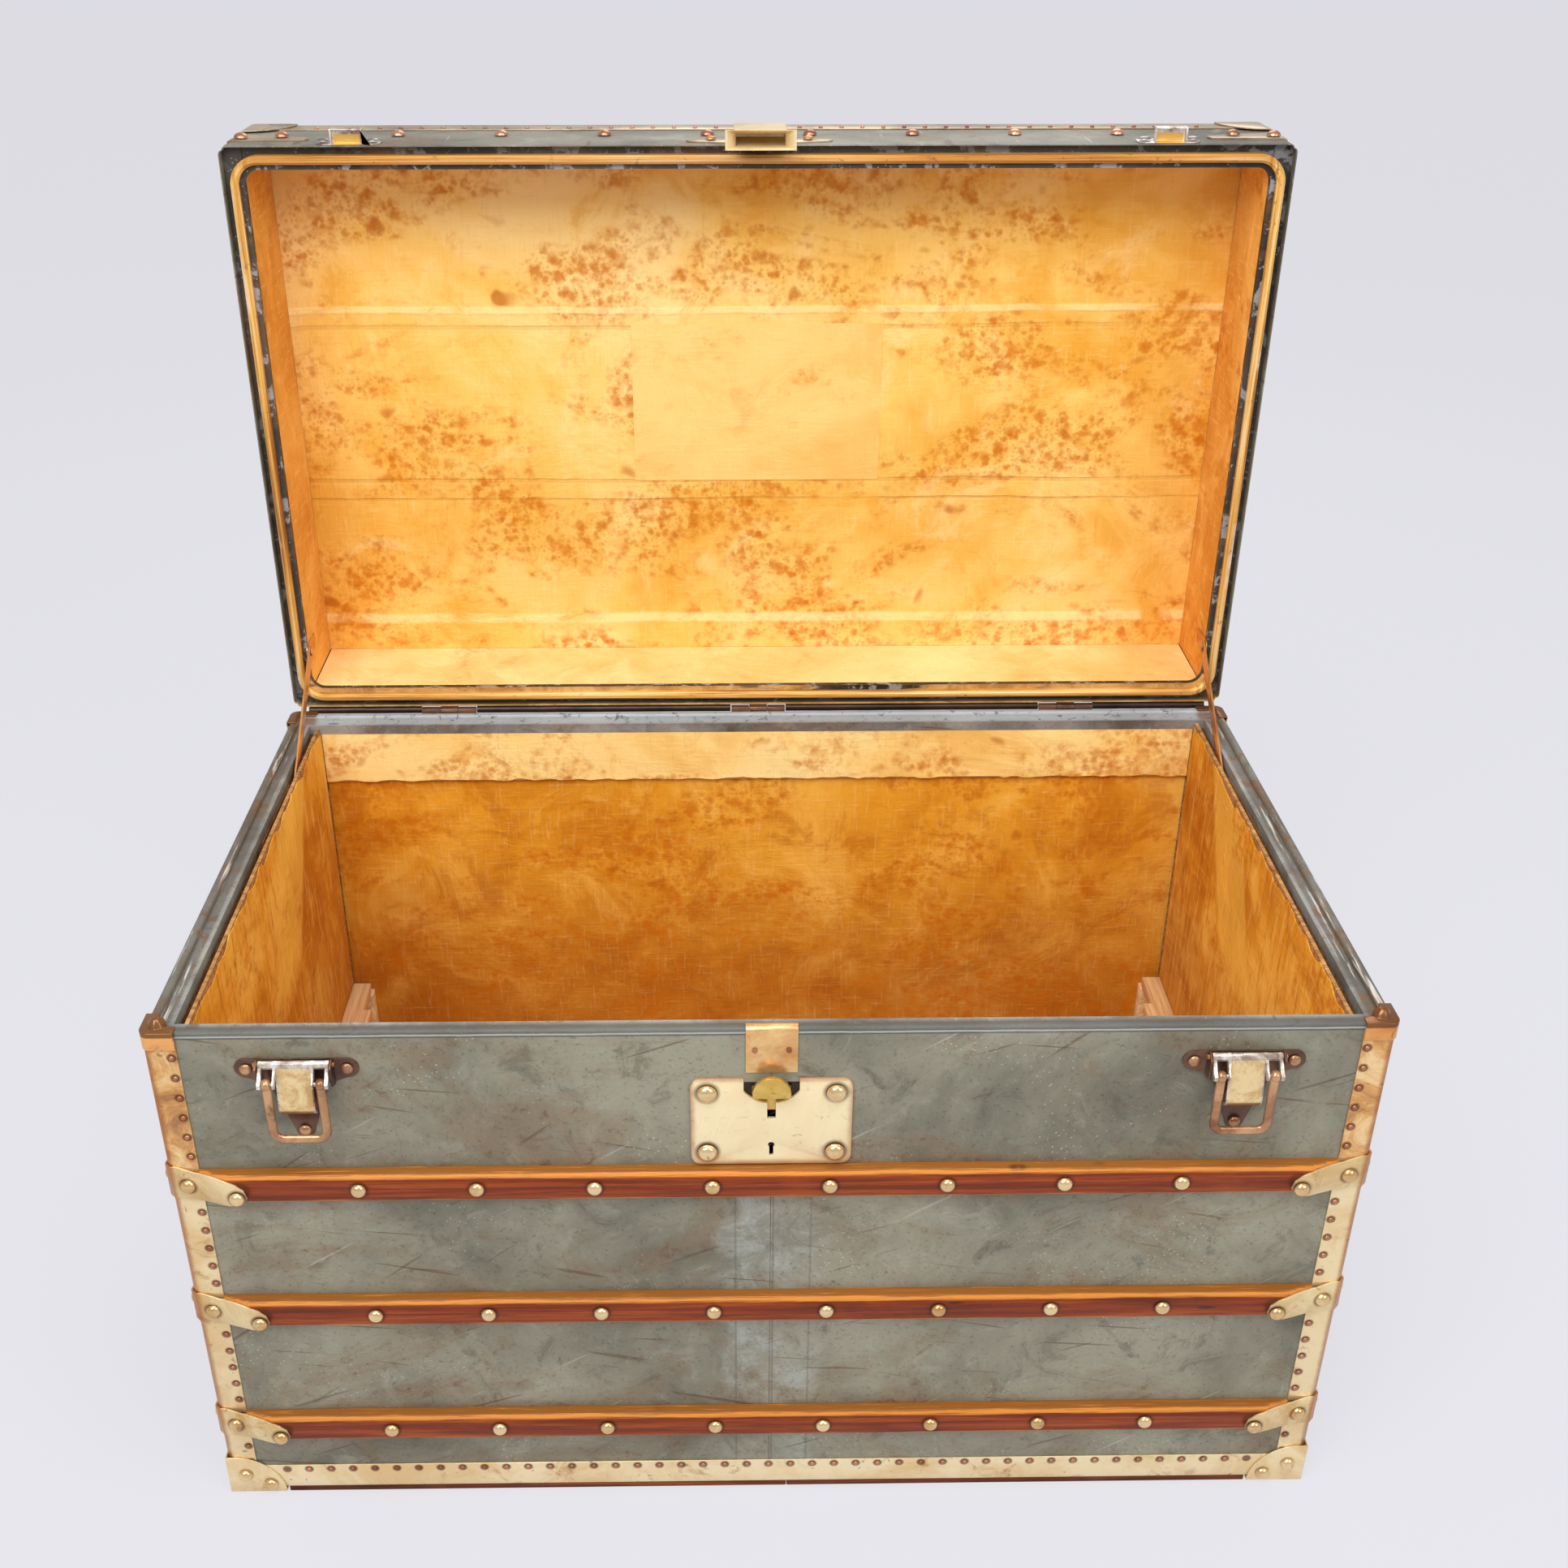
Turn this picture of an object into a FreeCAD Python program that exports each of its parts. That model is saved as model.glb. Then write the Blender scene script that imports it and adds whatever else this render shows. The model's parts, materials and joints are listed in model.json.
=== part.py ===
import FreeCAD, Part
import math
import os
import Sketcher
from FreeCAD import Placement, Rotation, Vector

# A flat-topped travelling trunk, open. Millimetres, +X along the front, +Y to the rear, +Z up.
# The origin is the middle of the footprint, on the ground.

SIZES = {
    # case
    "trunk_length": 900,
    "trunk_depth": 516,
    "body_height": 476,
    "lid_height": 105,
    "zinc_sheet": 1,
    "side_board": 11,
    "floor_board": 12,
    "lid_side_board": 17,
    "lid_top_board": 8,
    "corner_round": 5,
    "ground_gap": 7,
    "seam_gap": 0.4,
    "brass_sheet": 1.2,
    "canvas": 1,
    # rim of the body
    "rim_width": 18,
    "bead_width": 7,
    "bead_rise": 5,
    "bead_round": 3,
    "rim_skirt": 8,
    "batten_height": 60,
    # closing line and hinges
    "closing_gap": 1.6,
    "hinge_offset": 4,
    "hinge_leaf": 1.5,
    "hinge_leaf_width": 52,
    "hinge_leaf_reach": 42,
    "hinge_pin": 1.8,
    "hinge_inset": 150,
    "running_gap": 0.05,
    "knuckle_gap": 0.3,
    # lining and inner panels
    "panel_setback": 24,
    "inner_panel": 3,
    "panel_drop": 8,
    "corner_batten": 20,
    # tray rests
    "tray_rest_top": 172,
    "tray_rail_width": 26.5,
    "tray_rail_thickness": 12,
    "tray_notch_length": 47,
    "tray_notch_depth": 8.5,
    "tray_leg_width": 20,
    "tray_leg_thickness": 12,
    # brass on the corners and edges
    "angle_width": 23,
    "edge_strip_height": 25,
    "edge_strip_turn": 22,
    "cap_reach": 46,
    "cap_rise": 39,
    "cap_ground_gap": 1,
    "rim_cap_skirt": 14,
    "rim_dome_radius": 7,
    "rim_dome_rise": 6,
    "rim_dome_setback": 9,
    # runners under the bottom
    "runner_width": 28,
    "runner_spacing": 114,
    "runner_joint": 15,
    # slats and clamps
    "slat_height": 26,
    "slat_thickness": 11,
    "slat_end": 4,
    "slat_ramp": 22,
    "slat_chamfer": 3,
    "low_slat_gap": 39.7,
    "lid_slat_pitch": 128.5,
    "lid_slat_start": 65,
    "clamp_sheet": 1.6,
    "clamp_reach": 59,
    "clamp_tip": 7.5,
    "clamp_above": 16.5,
    "clamp_below": 13.5,
    "clamp_landing": 8,
    "lid_clamp_reach": 70,
    "lid_clamp_depth": 36,
    # dome rivets
    "rivet_radius": 6,
    "rivet_rise": 3.2,
    "rivet_pitch": 88,
    "rivet_end_margin": 130,
    "lid_rivet_depth": 52,
    # lock
    "lock_width": 119,
    "lock_height": 79,
    "lock_drop": 44,
    "lock_slat_gap": 1.5,
    "lock_sheet": 2.5,
    "lock_round": 8,
    "lock_notch_width": 41,
    "lock_notch_depth": 11,
    "lock_notch_sag": 11,
    "lock_slot_width": 6.3,
    "lock_slot_height": 16,
    "lock_slot_drop": 20,
    "keyhole_radius": 2.65,
    "keyhole_rise": 18,
    "keyhole_slit": 3,
    "keyhole_length": 10,
    "lock_rivet_inset": 12,
    "lock_rivet_radius": 7,
    "lock_rivet_rise": 4,
    "lock_case_width": 76,
    "lock_case_depth": 9.5,
    "lock_case_wall": 1.5,
    "lock_case_margin": 4,
    "catch_width": 28,
    "catch_tongue": 3.5,
    "catch_stand": 6.5,
    "catch_shelf": 4,
    "catch_shelf_drop": 8,
    "catch_stem": 22,
    "catch_slack": 0.3,
    "catch_travel": 5,
    "catch_leaf": 0.8,
    "strap_width": 38,
    "strap_gap": 5,
    "strap_hook": 2,
    # draw latches
    "latch_inset": 107,
    "latch_drop": 31,
    "latch_ear_spacing": 73,
    "latch_ear_radius": 8.5,
    "latch_foot_drop": 56,
    "latch_foot_radius": 7,
    "latch_neck": 22,
    "latch_neck_drop": 14,
    "latch_sheet": 1.2,
    "latch_rivet_radius": 4.6,
    "latch_rivet_rise": 2.6,
    "cheek_sheet": 1.5,
    "cheek_spacing": 52,
    "lever_axis_rise": 7,
    "lever_axis_stand": 6.5,
    "lever_pin": 1.8,
    "lever_barrel": 3.2,
    "tongue_width": 24,
    "tongue_sheet": 2,
    "tongue_stand": 15,
    "tongue_tip_drop": 35,
    "ring_axis_drop": 4,
    "ring_axis_stand": 15,
    "ring_rod": 3,
    "ring_width": 45,
    "ring_length": 49,
    "ring_bend": 4,
    "ring_pin": 1.5,
    "ring_eye": 4.2,
    "lug_sheet": 2.6,
    # catches on the lid
    "catch_plate_width": 53,
    "catch_plate_reach": 24,
    "hood_width": 27,
    "hood_stand": 13,
    "hood_sheet": 1.5,
    "hood_top": 8.2,
    "hood_lip": 3,
    # hasp
    "hasp_ear_width": 123,
    "hasp_ear_spacing": 82,
    "hasp_plate_sheet": 1.5,
    "hasp_plate_low": 4,
    "hasp_plate_high": 32,
    "hasp_axis_reach": 20,
    "hasp_axis_stand": 5.5,
    "hasp_knuckle": 3.8,
    "hasp_pin": 1.6,
    "hasp_width": 43,
    "hasp_overhang": 42.5,
    "hasp_back": 2,
    "hasp_front": 15,
    "hasp_wall": 1.2,
    "hasp_flare_width": 58,
    "hasp_flare_length": 9,
    "hasp_flare_stand": 18,
    # lid rim
    "lip_inset": 7.6,
    "lip_width": 7,
    "lip_reach": 4.6,
    "lip_seat": 8,
    "lip_corner": 24,
    "lip_round": 2.2,
    "inner_strip_width": 4.4,
    "inner_strip_recess": 1.5,
    # paper label
    "label_width": 234,
    "label_height": 150,
    "label_rise": 195,
    "label_sheet": 0.4,
    # lid stays
    "stay_reach": 57,
    "stay_recess": 5,
    "stay_length": 165,
    "stay_width": 12,
    "stay_sheet": 1.8,
    "stay_pocket_gap": 2,
    "stay_pivot_radius": 3,
    "stay_head_radius": 5,
    "stay_stud": 2.6,
    "guide_sheet": 1.8,
    "guide_margin": 4.5,
    "slide_gap": 0.3,
    # end handles
    "handle_rim_drop": 61,
    "handle_spacing": 116,
    "handle_stand": 10,
    "handle_drop": 52,
    "handle_grip": 22,
    "handle_leather": 12,
    "handle_round": 4,
    "handle_pin": 3,
    "handle_eye": 7,
    "handle_eye_width": 14,
    "bracket_sheet": 2,
    "bracket_width": 24,
    "bracket_height": 34,
    "bracket_lug": 3,
}

doc = FreeCAD.newDocument("Trunk")
sheet = doc.addObject("Spreadsheet::Sheet", "Sizes")
for row, (alias, number) in enumerate(SIZES.items(), 1):
    sheet.set(f"A{row}", alias)
    sheet.set(f"B{row}", str(number))
    sheet.setAlias(f"B{row}", alias)
doc.recompute()


class Size:
    """A length that carries both its number and its formula on the sheet."""

    def __init__(self, number, formula):
        self.number = float(number)
        self.formula = formula

    def __float__(self):
        return self.number

    def __neg__(self):
        return Size(-self.number, f"(-1 * {self.formula})")

    def __add__(self, other):
        other = as_size(other)
        return Size(self.number + other.number, f"({self.formula} + {other.formula})")

    def __sub__(self, other):
        other = as_size(other)
        return Size(self.number - other.number, f"({self.formula} - {other.formula})")

    def __mul__(self, factor):
        factor = as_size(factor)
        return Size(self.number * factor.number, f"({self.formula} * {factor.formula})")

    def __truediv__(self, factor):
        factor = as_size(factor)
        return Size(self.number / factor.number, f"({self.formula} / {factor.formula})")


def as_size(thing):
    return thing if isinstance(thing, Size) else Size(thing, repr(float(thing)))


class Named:
    """Gives each size on the sheet by its own name."""

    def __getattr__(self, alias):
        return Size(getattr(sheet, alias), f"Sizes.{alias}")


size = Named()
ZERO = as_size(0)


# Helpers: each makes one object whose sizes are tied to the sheet

def tie(thing, path, length):
    thing.setExpression(path, as_size(length).formula)


def move(thing, x=ZERO, y=ZERO, z=ZERO):
    """Ties the place of an object."""
    for axis, length in zip("xyz", (x, y, z)):
        tie(thing, f"Placement.Base.{axis}", length)
    return thing


def box(label, x, y, z):
    """A box between a low and a high size on each axis."""
    made = doc.addObject("Part::Box", label)
    for side, (low, high) in zip(("Length", "Width", "Height"), (x, y, z)):
        tie(made, side, high - low)
    return move(made, x[0], y[0], z[0])


TURN = {"X": Rotation(Vector(0, 1, 0), 90), "Y": Rotation(Vector(1, 0, 0), -90), "Z": Rotation()}


def bar(label, radius, x, y, z, along="X", sides=8):
    """A round bar drawn with few sides; the axis that it runs along is a low and a high size."""
    made = doc.addObject("Part::Prism", label)
    made.Polygon = sides
    tie(made, "Circumradius", radius)
    made.Placement = Placement(Vector(), TURN[along])
    places = {"X": x, "Y": y, "Z": z}
    low, high = places[along]
    tie(made, "Height", high - low)
    places[along] = low
    return move(made, places["X"], places["Y"], places["Z"])


def bore(label, radius, x, y, z, along="X", sides=8):
    """The tool for a hole that is nowhere narrower than its radius."""
    return bar(label, radius * (1 / math.cos(math.pi / sides)), x, y, z, along, sides)


def cut(label, base, *tools):
    made = doc.addObject("Part::Cut", label)
    made.Base = base
    made.Tool = tools[0] if len(tools) == 1 else group(label + "_tools", *tools)
    return made


def fuse(label, *pieces, refine=True):
    made = doc.addObject("Part::MultiFuse", label)
    made.Shapes = list(pieces)
    made.Refine = refine
    return made


def common(label, *pieces):
    made = doc.addObject("Part::MultiCommon", label)
    made.Shapes = list(pieces)
    return made


def group(label, *pieces):
    """Separate solids that share one node."""
    made = doc.addObject("Part::Compound", label)
    made.Links = list(pieces)
    return made


def copies(label, shapes):
    """A group of separate solids from shapes that are already in place."""
    made = doc.addObject("Part::Feature", label)
    made.Shape = Part.makeCompound(shapes)
    return made


PLANES = {
    "XY": ("XY_Plane", "z", False),
    "XZ": ("XZ_Plane", "y", True),
    "YZ": ("YZ_Plane", "x", False),
}


def outline(sketch, corners, bends):
    """Closes a line through the corners; a bend makes the side after its corner an arc.

    A bend is (axis, size, turn): the arc's centre has that size on that axis, and a turn of 1 runs
    anticlockwise.
    """
    first = sketch.GeometryCount
    count = len(corners)
    for number in range(count):
        start = [float(length) for length in corners[number]]
        end = [float(length) for length in corners[(number + 1) % count]]
        if number not in bends:
            sketch.addGeometry(Part.LineSegment(Vector(*start, 0), Vector(*end, 0)))
            continue
        axis, place, turn = bends[number]
        across = [end[0] - start[0], end[1] - start[1]]
        middle = [(start[0] + end[0]) / 2, (start[1] + end[1]) / 2]
        centre = list(middle)
        if axis == "x":
            centre[0] = float(place)
            centre[1] -= (centre[0] - middle[0]) * across[0] / across[1]
        else:
            centre[1] = float(place)
            centre[0] -= (centre[1] - middle[1]) * across[1] / across[0]
        radius = math.hypot(start[0] - centre[0], start[1] - centre[1])
        angles = [math.atan2(point[1] - centre[1], point[0] - centre[0]) for point in (start, end)]
        if turn < 0:
            angles.reverse()
        ring = Part.Circle(Vector(*centre, 0), Vector(0, 0, 1), radius)
        sketch.addGeometry(Part.ArcOfCircle(ring, *angles))
    for number in range(count):
        side = first + number
        before = first + (number - 1) % count
        starts = 2 if number in bends and bends[number][2] < 0 else 1
        last = (number - 1) % count
        ends = 1 if last in bends and bends[last][2] < 0 else 2
        sketch.addConstraint(Sketcher.Constraint("Coincident", before, ends, side, starts))
        for kind, length in zip(("DistanceX", "DistanceY"), corners[number]):
            added = sketch.addConstraint(Sketcher.Constraint(kind, -1, 1, side, starts, float(length)))
            sketch.renameConstraint(added, f"{kind}_{side}")
            tie(sketch, f"Constraints.{kind}_{side}", length)
        if number in bends:
            axis, place, turn = bends[number]
            kind = "DistanceX" if axis == "x" else "DistanceY"
            added = sketch.addConstraint(Sketcher.Constraint(kind, -1, 1, side, 3, float(place)))
            sketch.renameConstraint(added, f"centre_{side}")
            tie(sketch, f"Constraints.centre_{side}", place)


def pad(label, plane, low, high, corners, bends=None, inner=None, inner_bends=None):
    """A body padded from an outline, between two places along the plane's normal."""
    role, axis, backwards = PLANES[plane]
    body = doc.addObject("PartDesign::Body", label)
    sketch = body.newObject("Sketcher::SketchObject", label + "_outline")
    origin = next(item for item in body.Origin.OriginFeatures if item.Role == role)
    sketch.AttachmentSupport = [(origin, "")]
    sketch.MapMode = "FlatFace"
    outline(sketch, corners, bends or {})
    if inner:
        outline(sketch, inner, inner_bends or {})
    made = body.newObject("PartDesign::Pad", label + "_pad")
    made.Profile = sketch
    made.Reversed = backwards
    tie(made, "Length", high - low)
    sketch.Visibility = False
    tie(body, f"Placement.Base.{axis}", low)
    return body


def soften(body, radius, wanted, kind="Fillet"):
    """Rounds or chamfers the edges of a body that a test picks by their ends."""
    doc.recompute()
    base = body.Tip
    names = [
        f"Edge{number}"
        for number, edge in enumerate(base.Shape.Edges, 1)
        if wanted([vertex.Point for vertex in edge.Vertexes])
    ]
    made = body.newObject(f"PartDesign::{kind}", f"{body.Name}_{kind.lower()}")
    made.Base = (base, names)
    tie(made, "Radius" if kind == "Fillet" else "Size", radius)
    return body


def rounded(x, y, radius):
    """Corners and bends of an upright rectangle with rounded corners."""
    (left, right), (low, high) = x, y
    corners = [
        (left, low + radius), (left + radius, low),
        (right - radius, low), (right, low + radius),
        (right, high - radius), (right - radius, high),
        (left + radius, high), (left, high - radius),
    ]
    bends = {
        0: ("x", left + radius, 1),
        2: ("x", right - radius, 1),
        4: ("x", right - radius, 1),
        6: ("x", left + radius, 1),
    }
    return corners, bends


def square(x, y):
    """Corners of a plain rectangle."""
    (left, right), (low, high) = x, y
    return [(left, low), (right, low), (right, high), (left, high)]


def faceted(label, rings):
    """A solid with flat faces through rings of points that match one to one."""
    faces = [Part.Face(Part.makePolygon(ring + ring[:1])) for ring in (rings[0], rings[-1])]
    for low, high in zip(rings, rings[1:]):
        for number in range(len(low)):
            after = (number + 1) % len(low)
            corners = [low[number], low[after], high[after], high[number], low[number]]
            faces.append(Part.Face(Part.makePolygon(corners)))
    solid = Part.Solid(Part.Shell(faces))
    if solid.Volume < 0:
        solid.reverse()
    made = doc.addObject("Part::Feature", label)
    made.Shape = solid
    return made


DOME_SHARES = {1: [(1, 0), (0.5, 1)], 2: [(1, 0), (0.86, 0.45), (0.4, 1)]}


def dome(label, radius, rise, sides=6, steps=1):
    """A rivet head in flat faces, standing at the origin."""
    doc.recompute()
    angles = [2 * math.pi * number / sides for number in range(sides)]
    return faceted(label, [
        [
            Vector(math.cos(angle), math.sin(angle), 0) * float(radius * spread)
            + Vector(0, 0, float(rise * lift))
            for angle in angles
        ]
        for spread, lift in DOME_SHARES[steps]
    ])


FACING = {
    "front": Rotation(Vector(0, 0, 1), Vector(0, -1, 0)),
    "rear": Rotation(Vector(0, 0, 1), Vector(0, 1, 0)),
    "left": Rotation(Vector(0, 0, 1), Vector(-1, 0, 0)),
    "right": Rotation(Vector(0, 0, 1), Vector(1, 0, 0)),
    "up": Rotation(),
    "down": Rotation(Vector(0, 0, 1), Vector(0, 0, -1)),
}


def at(x, y, z):
    return Vector(float(x), float(y), float(z))


def heads(unit, places):
    """Copies of a rivet head: places are (point, which way it faces)."""
    doc.recompute()
    return [
        unit.Shape.copy().transformed(Placement(point, FACING[way]).toMatrix())
        for point, way in places
    ]


def turned(shape, rotation, offset):
    return shape.copy().transformed(Placement(offset, rotation).toMatrix())


MIRRORS = [(1, 1), (-1, 1), (1, -1), (-1, -1)]


def mirrored(shape, across, along):
    """A copy mirrored in x and in y where the sign is negative."""
    made = shape.copy()
    if across < 0:
        made = made.mirror(Vector(), Vector(1, 0, 0))
    if along < 0:
        made = made.mirror(Vector(), Vector(0, 1, 0))
    return made


NODES = []


def node(thing):
    """Marks a finished sub-part."""
    NODES.append(thing)
    return thing


# Planes that the case is built on

side_x = size.trunk_length / 2
side_y = size.trunk_depth / 2
wood_x = side_x - size.zinc_sheet
wood_y = side_y - size.zinc_sheet
inner_x = wood_x - size.side_board
inner_y = wood_y - size.side_board
rim_top = size.body_height
shoulder = rim_top - size.bead_rise
wood_top = shoulder - size.zinc_sheet
case_bottom = size.ground_gap
wood_bottom = case_bottom + size.zinc_sheet
floor_top = wood_bottom + size.floor_board
rim_x = side_x - size.rim_width
rim_y = side_y - size.rim_width
wood_round = size.corner_round - size.zinc_sheet

# Wooden case

def long_board(label, sign):
    """Front or rear board, with its two outer upright edges rounded."""
    outer = as_size(sign) * wood_y
    inner = as_size(sign) * inner_y
    start = as_size(sign) * (wood_y - wood_round)
    corners = [
        (-wood_x, inner), (-wood_x, start), (wood_round - wood_x, outer),
        (wood_x - wood_round, outer), (wood_x, start), (wood_x, inner),
    ]
    bends = {
        1: ("x", wood_round - wood_x, -sign),
        3: ("x", wood_x - wood_round, -sign),
    }
    return pad(label, "XY", wood_bottom, wood_top, corners, bends)


lock_top = rim_top - size.lock_drop
lock_low = lock_top - size.lock_height
case_low = lock_low + size.lock_case_margin
case_high = lock_top - size.lock_case_margin
mortise = box(
    "lock_mortise",
    (-size.lock_case_width / 2, size.lock_case_width / 2),
    (-side_y - size.zinc_sheet, size.lock_case_depth - side_y),
    (case_low, case_high),
)
node(cut("front_board", long_board("front_board_blank", -1), mortise))
node(long_board("rear_board", 1))
node(group(
    "end_boards",
    box("left_end_board", (-wood_x, -inner_x), (-inner_y, inner_y), (wood_bottom, wood_top)),
    box("right_end_board", (inner_x, wood_x), (-inner_y, inner_y), (wood_bottom, wood_top)),
))
node(box("bottom_board", (-inner_x, inner_x), (-inner_y, inner_y), (wood_bottom, floor_top)))

# Zinc over the case: two sheets that meet in the middle of the front and the rear

sheet_outer, sheet_outer_bends = rounded((-side_x, side_x), (-side_y, side_y), size.corner_round)
sheet_inner, sheet_inner_bends = rounded((-wood_x, wood_x), (-wood_y, wood_y), wood_round)
wrap = pad(
    "zinc_wrap", "XY", wood_bottom, wood_top,
    sheet_outer, sheet_outer_bends, sheet_inner, sheet_inner_bends,
)
seam = box(
    "zinc_seam",
    (-size.seam_gap / 2, size.seam_gap / 2),
    (-side_y - size.zinc_sheet, side_y + size.zinc_sheet),
    (case_bottom, rim_top),
)
node(group(
    "body_zinc",
    cut("wall_zinc", wrap, seam, mortise),
    pad("bottom_zinc", "XY", case_bottom, wood_bottom, sheet_outer, sheet_outer_bends),
))

# Rim: a rounded bead outside, a flat shoulder inside it, and a skirt down the inner edge

bead_x = side_x - size.bead_width
bead_y = side_y - size.bead_width
bead = pad(
    "rim_bead", "XY", wood_top, rim_top,
    sheet_outer, sheet_outer_bends, square((-bead_x, bead_x), (-bead_y, bead_y)),
)


def on_top(points):
    highest = float(rim_top - wood_top)
    return all(abs(point.z - highest) < float(size.seam_gap) / 10 for point in points)


soften(bead, size.bead_round, on_top)
ledge = pad(
    "rim_ledge", "XY", wood_top, shoulder,
    square((-bead_x, bead_x), (-bead_y, bead_y)), None,
    square((-rim_x, rim_x), (-rim_y, rim_y)),
)
skirt_x = rim_x + size.zinc_sheet
skirt_y = rim_y + size.zinc_sheet
skirt = pad(
    "rim_skirt_ring", "XY", wood_top - size.rim_skirt, wood_top,
    square((-skirt_x, skirt_x), (-skirt_y, skirt_y)), None,
    square((-rim_x, rim_x), (-rim_y, rim_y)),
)
node(fuse("rim_cap", bead, ledge, skirt))

batten_low = wood_top - size.batten_height
node(group(
    "rim_battens",
    box("front_rim_batten", (-inner_x, inner_x), (-inner_y, -skirt_y), (batten_low, wood_top)),
    box("rear_rim_batten", (-inner_x, inner_x), (skirt_y, inner_y), (batten_low, wood_top)),
    box("left_rim_batten", (-inner_x, -skirt_x), (-skirt_y, skirt_y), (batten_low, wood_top)),
    box("right_rim_batten", (skirt_x, inner_x), (-skirt_y, skirt_y), (batten_low, wood_top)),
))

# Inner panels that make the stay pockets, on battens in the corners

panel_outer = side_x - size.panel_setback
panel_inner = panel_outer - size.inner_panel
lining_x = panel_inner - size.canvas
panel_top = rim_top - size.panel_drop
node(group("inner_panels", *[
    box(f"{name}_inner_panel", across, (-rim_y, rim_y), (floor_top, panel_top))
    for name, across in (("left", (-panel_outer, -panel_inner)), ("right", (panel_inner, panel_outer)))
]))
node(group("corner_battens", *[
    box(f"corner_batten_{number}", across, along, (floor_top, batten_low))
    for number, (across, along) in enumerate((
        ((-inner_x, -panel_outer), (-inner_y, size.corner_batten - inner_y)),
        ((panel_outer, inner_x), (-inner_y, size.corner_batten - inner_y)),
        ((-inner_x, -panel_outer), (inner_y - size.corner_batten, inner_y)),
        ((panel_outer, inner_x), (inner_y - size.corner_batten, inner_y)),
    ), 1)
]))

# Canvas lining of the body

canvas_y = inner_y - size.canvas
band_y = skirt_y - size.canvas
band_low = batten_low - size.canvas
skirt_low = wood_top - size.rim_skirt
canvas_floor = floor_top + size.canvas
lining_pieces = [
    box("floor_canvas", (-panel_inner, panel_inner), (-canvas_y, canvas_y), (floor_top, canvas_floor)),
]
for name, sign in (("front", -1), ("rear", 1)):
    def between(near, far, sign=sign):
        return (-far, -near) if sign < 0 else (near, far)
    lining_pieces += [
        box(f"{name}_canvas", (-panel_inner, panel_inner), between(canvas_y, inner_y),
            (floor_top, band_low)),
        box(f"{name}_canvas_step", (-panel_inner, panel_inner), between(band_y, inner_y),
            (band_low, batten_low)),
        box(f"{name}_canvas_band", (-panel_inner, panel_inner), between(band_y, skirt_y),
            (batten_low, skirt_low)),
    ]
for name, across in (("left", (-panel_inner, -lining_x)), ("right", (lining_x, panel_inner))):
    lining_pieces += [
        box(f"{name}_canvas", across, (-canvas_y, canvas_y), (canvas_floor, band_low)),
        box(f"{name}_canvas_band", across, (-band_y, band_y), (band_low, panel_top)),
    ]
node(fuse("body_lining", *lining_pieces))

# Tray rests: a notched rail on two leg boards at each end

rail_low = size.tray_rest_top - size.tray_rail_thickness
rail_x = lining_x - size.tray_rail_width
rail_y = rim_y - size.canvas * 2
rest_solids = []
for name, sign in (("left", -1), ("right", 1)):
    def ends(near, far, sign=sign):
        return (-far, -near) if sign < 0 else (near, far)
    rail = box(f"{name}_rail_blank", ends(rail_x, lining_x), (-rail_y, rail_y),
               (rail_low, size.tray_rest_top))
    notch = box(f"{name}_rail_notch", ends(rail_x - size.canvas, rail_x + size.tray_notch_depth),
                (rail_y - size.tray_notch_length, inner_y), (rail_low - size.canvas, panel_top))
    rest_solids.append(cut(f"{name}_rail", rail, notch))
    leg = ends(lining_x - size.tray_leg_width, lining_x)
    rest_solids.append(box(f"{name}_rear_leg", leg, (canvas_y - size.tray_leg_thickness, canvas_y),
                           (canvas_floor, rail_low)))
    rest_solids.append(box(f"{name}_front_leg", leg, (-canvas_y, size.tray_leg_thickness - canvas_y),
                           (canvas_floor, rail_low)))
node(group("tray_rests", *rest_solids))

# Runners under the bottom: the two outer ones carry the turned edge of the brass strips

cap_outer_x = side_x + size.brass_sheet * 2
runner_half = cap_outer_x - size.cap_reach - size.canvas * 3
strip_low = case_bottom - size.brass_sheet
outer_runner = side_y - size.zinc_sheet
node(group(
    "runners",
    box("front_runner_long", (-runner_half, size.runner_joint - size.seam_gap / 2),
        (-outer_runner, size.runner_width - outer_runner), (ZERO, strip_low)),
    box("front_runner_short", (size.runner_joint + size.seam_gap / 2, runner_half),
        (-outer_runner, size.runner_width - outer_runner), (ZERO, strip_low)),
    box("rear_runner", (-runner_half, runner_half),
        (outer_runner - size.runner_width, outer_runner), (ZERO, strip_low)),
    *[
        box(f"inner_runner_{number}", (-runner_half, runner_half),
            (size.runner_spacing * number - size.runner_width / 2,
             size.runner_spacing * number + size.runner_width / 2),
            (ZERO, case_bottom))
        for number in (-1, 0, 1)
    ],
))

# Brass edging: a strip that turns over an edge of the case, in four lengths

brass_x = side_x + size.brass_sheet
brass_y = side_y + size.brass_sheet
brass_round = size.corner_round + size.brass_sheet


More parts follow.
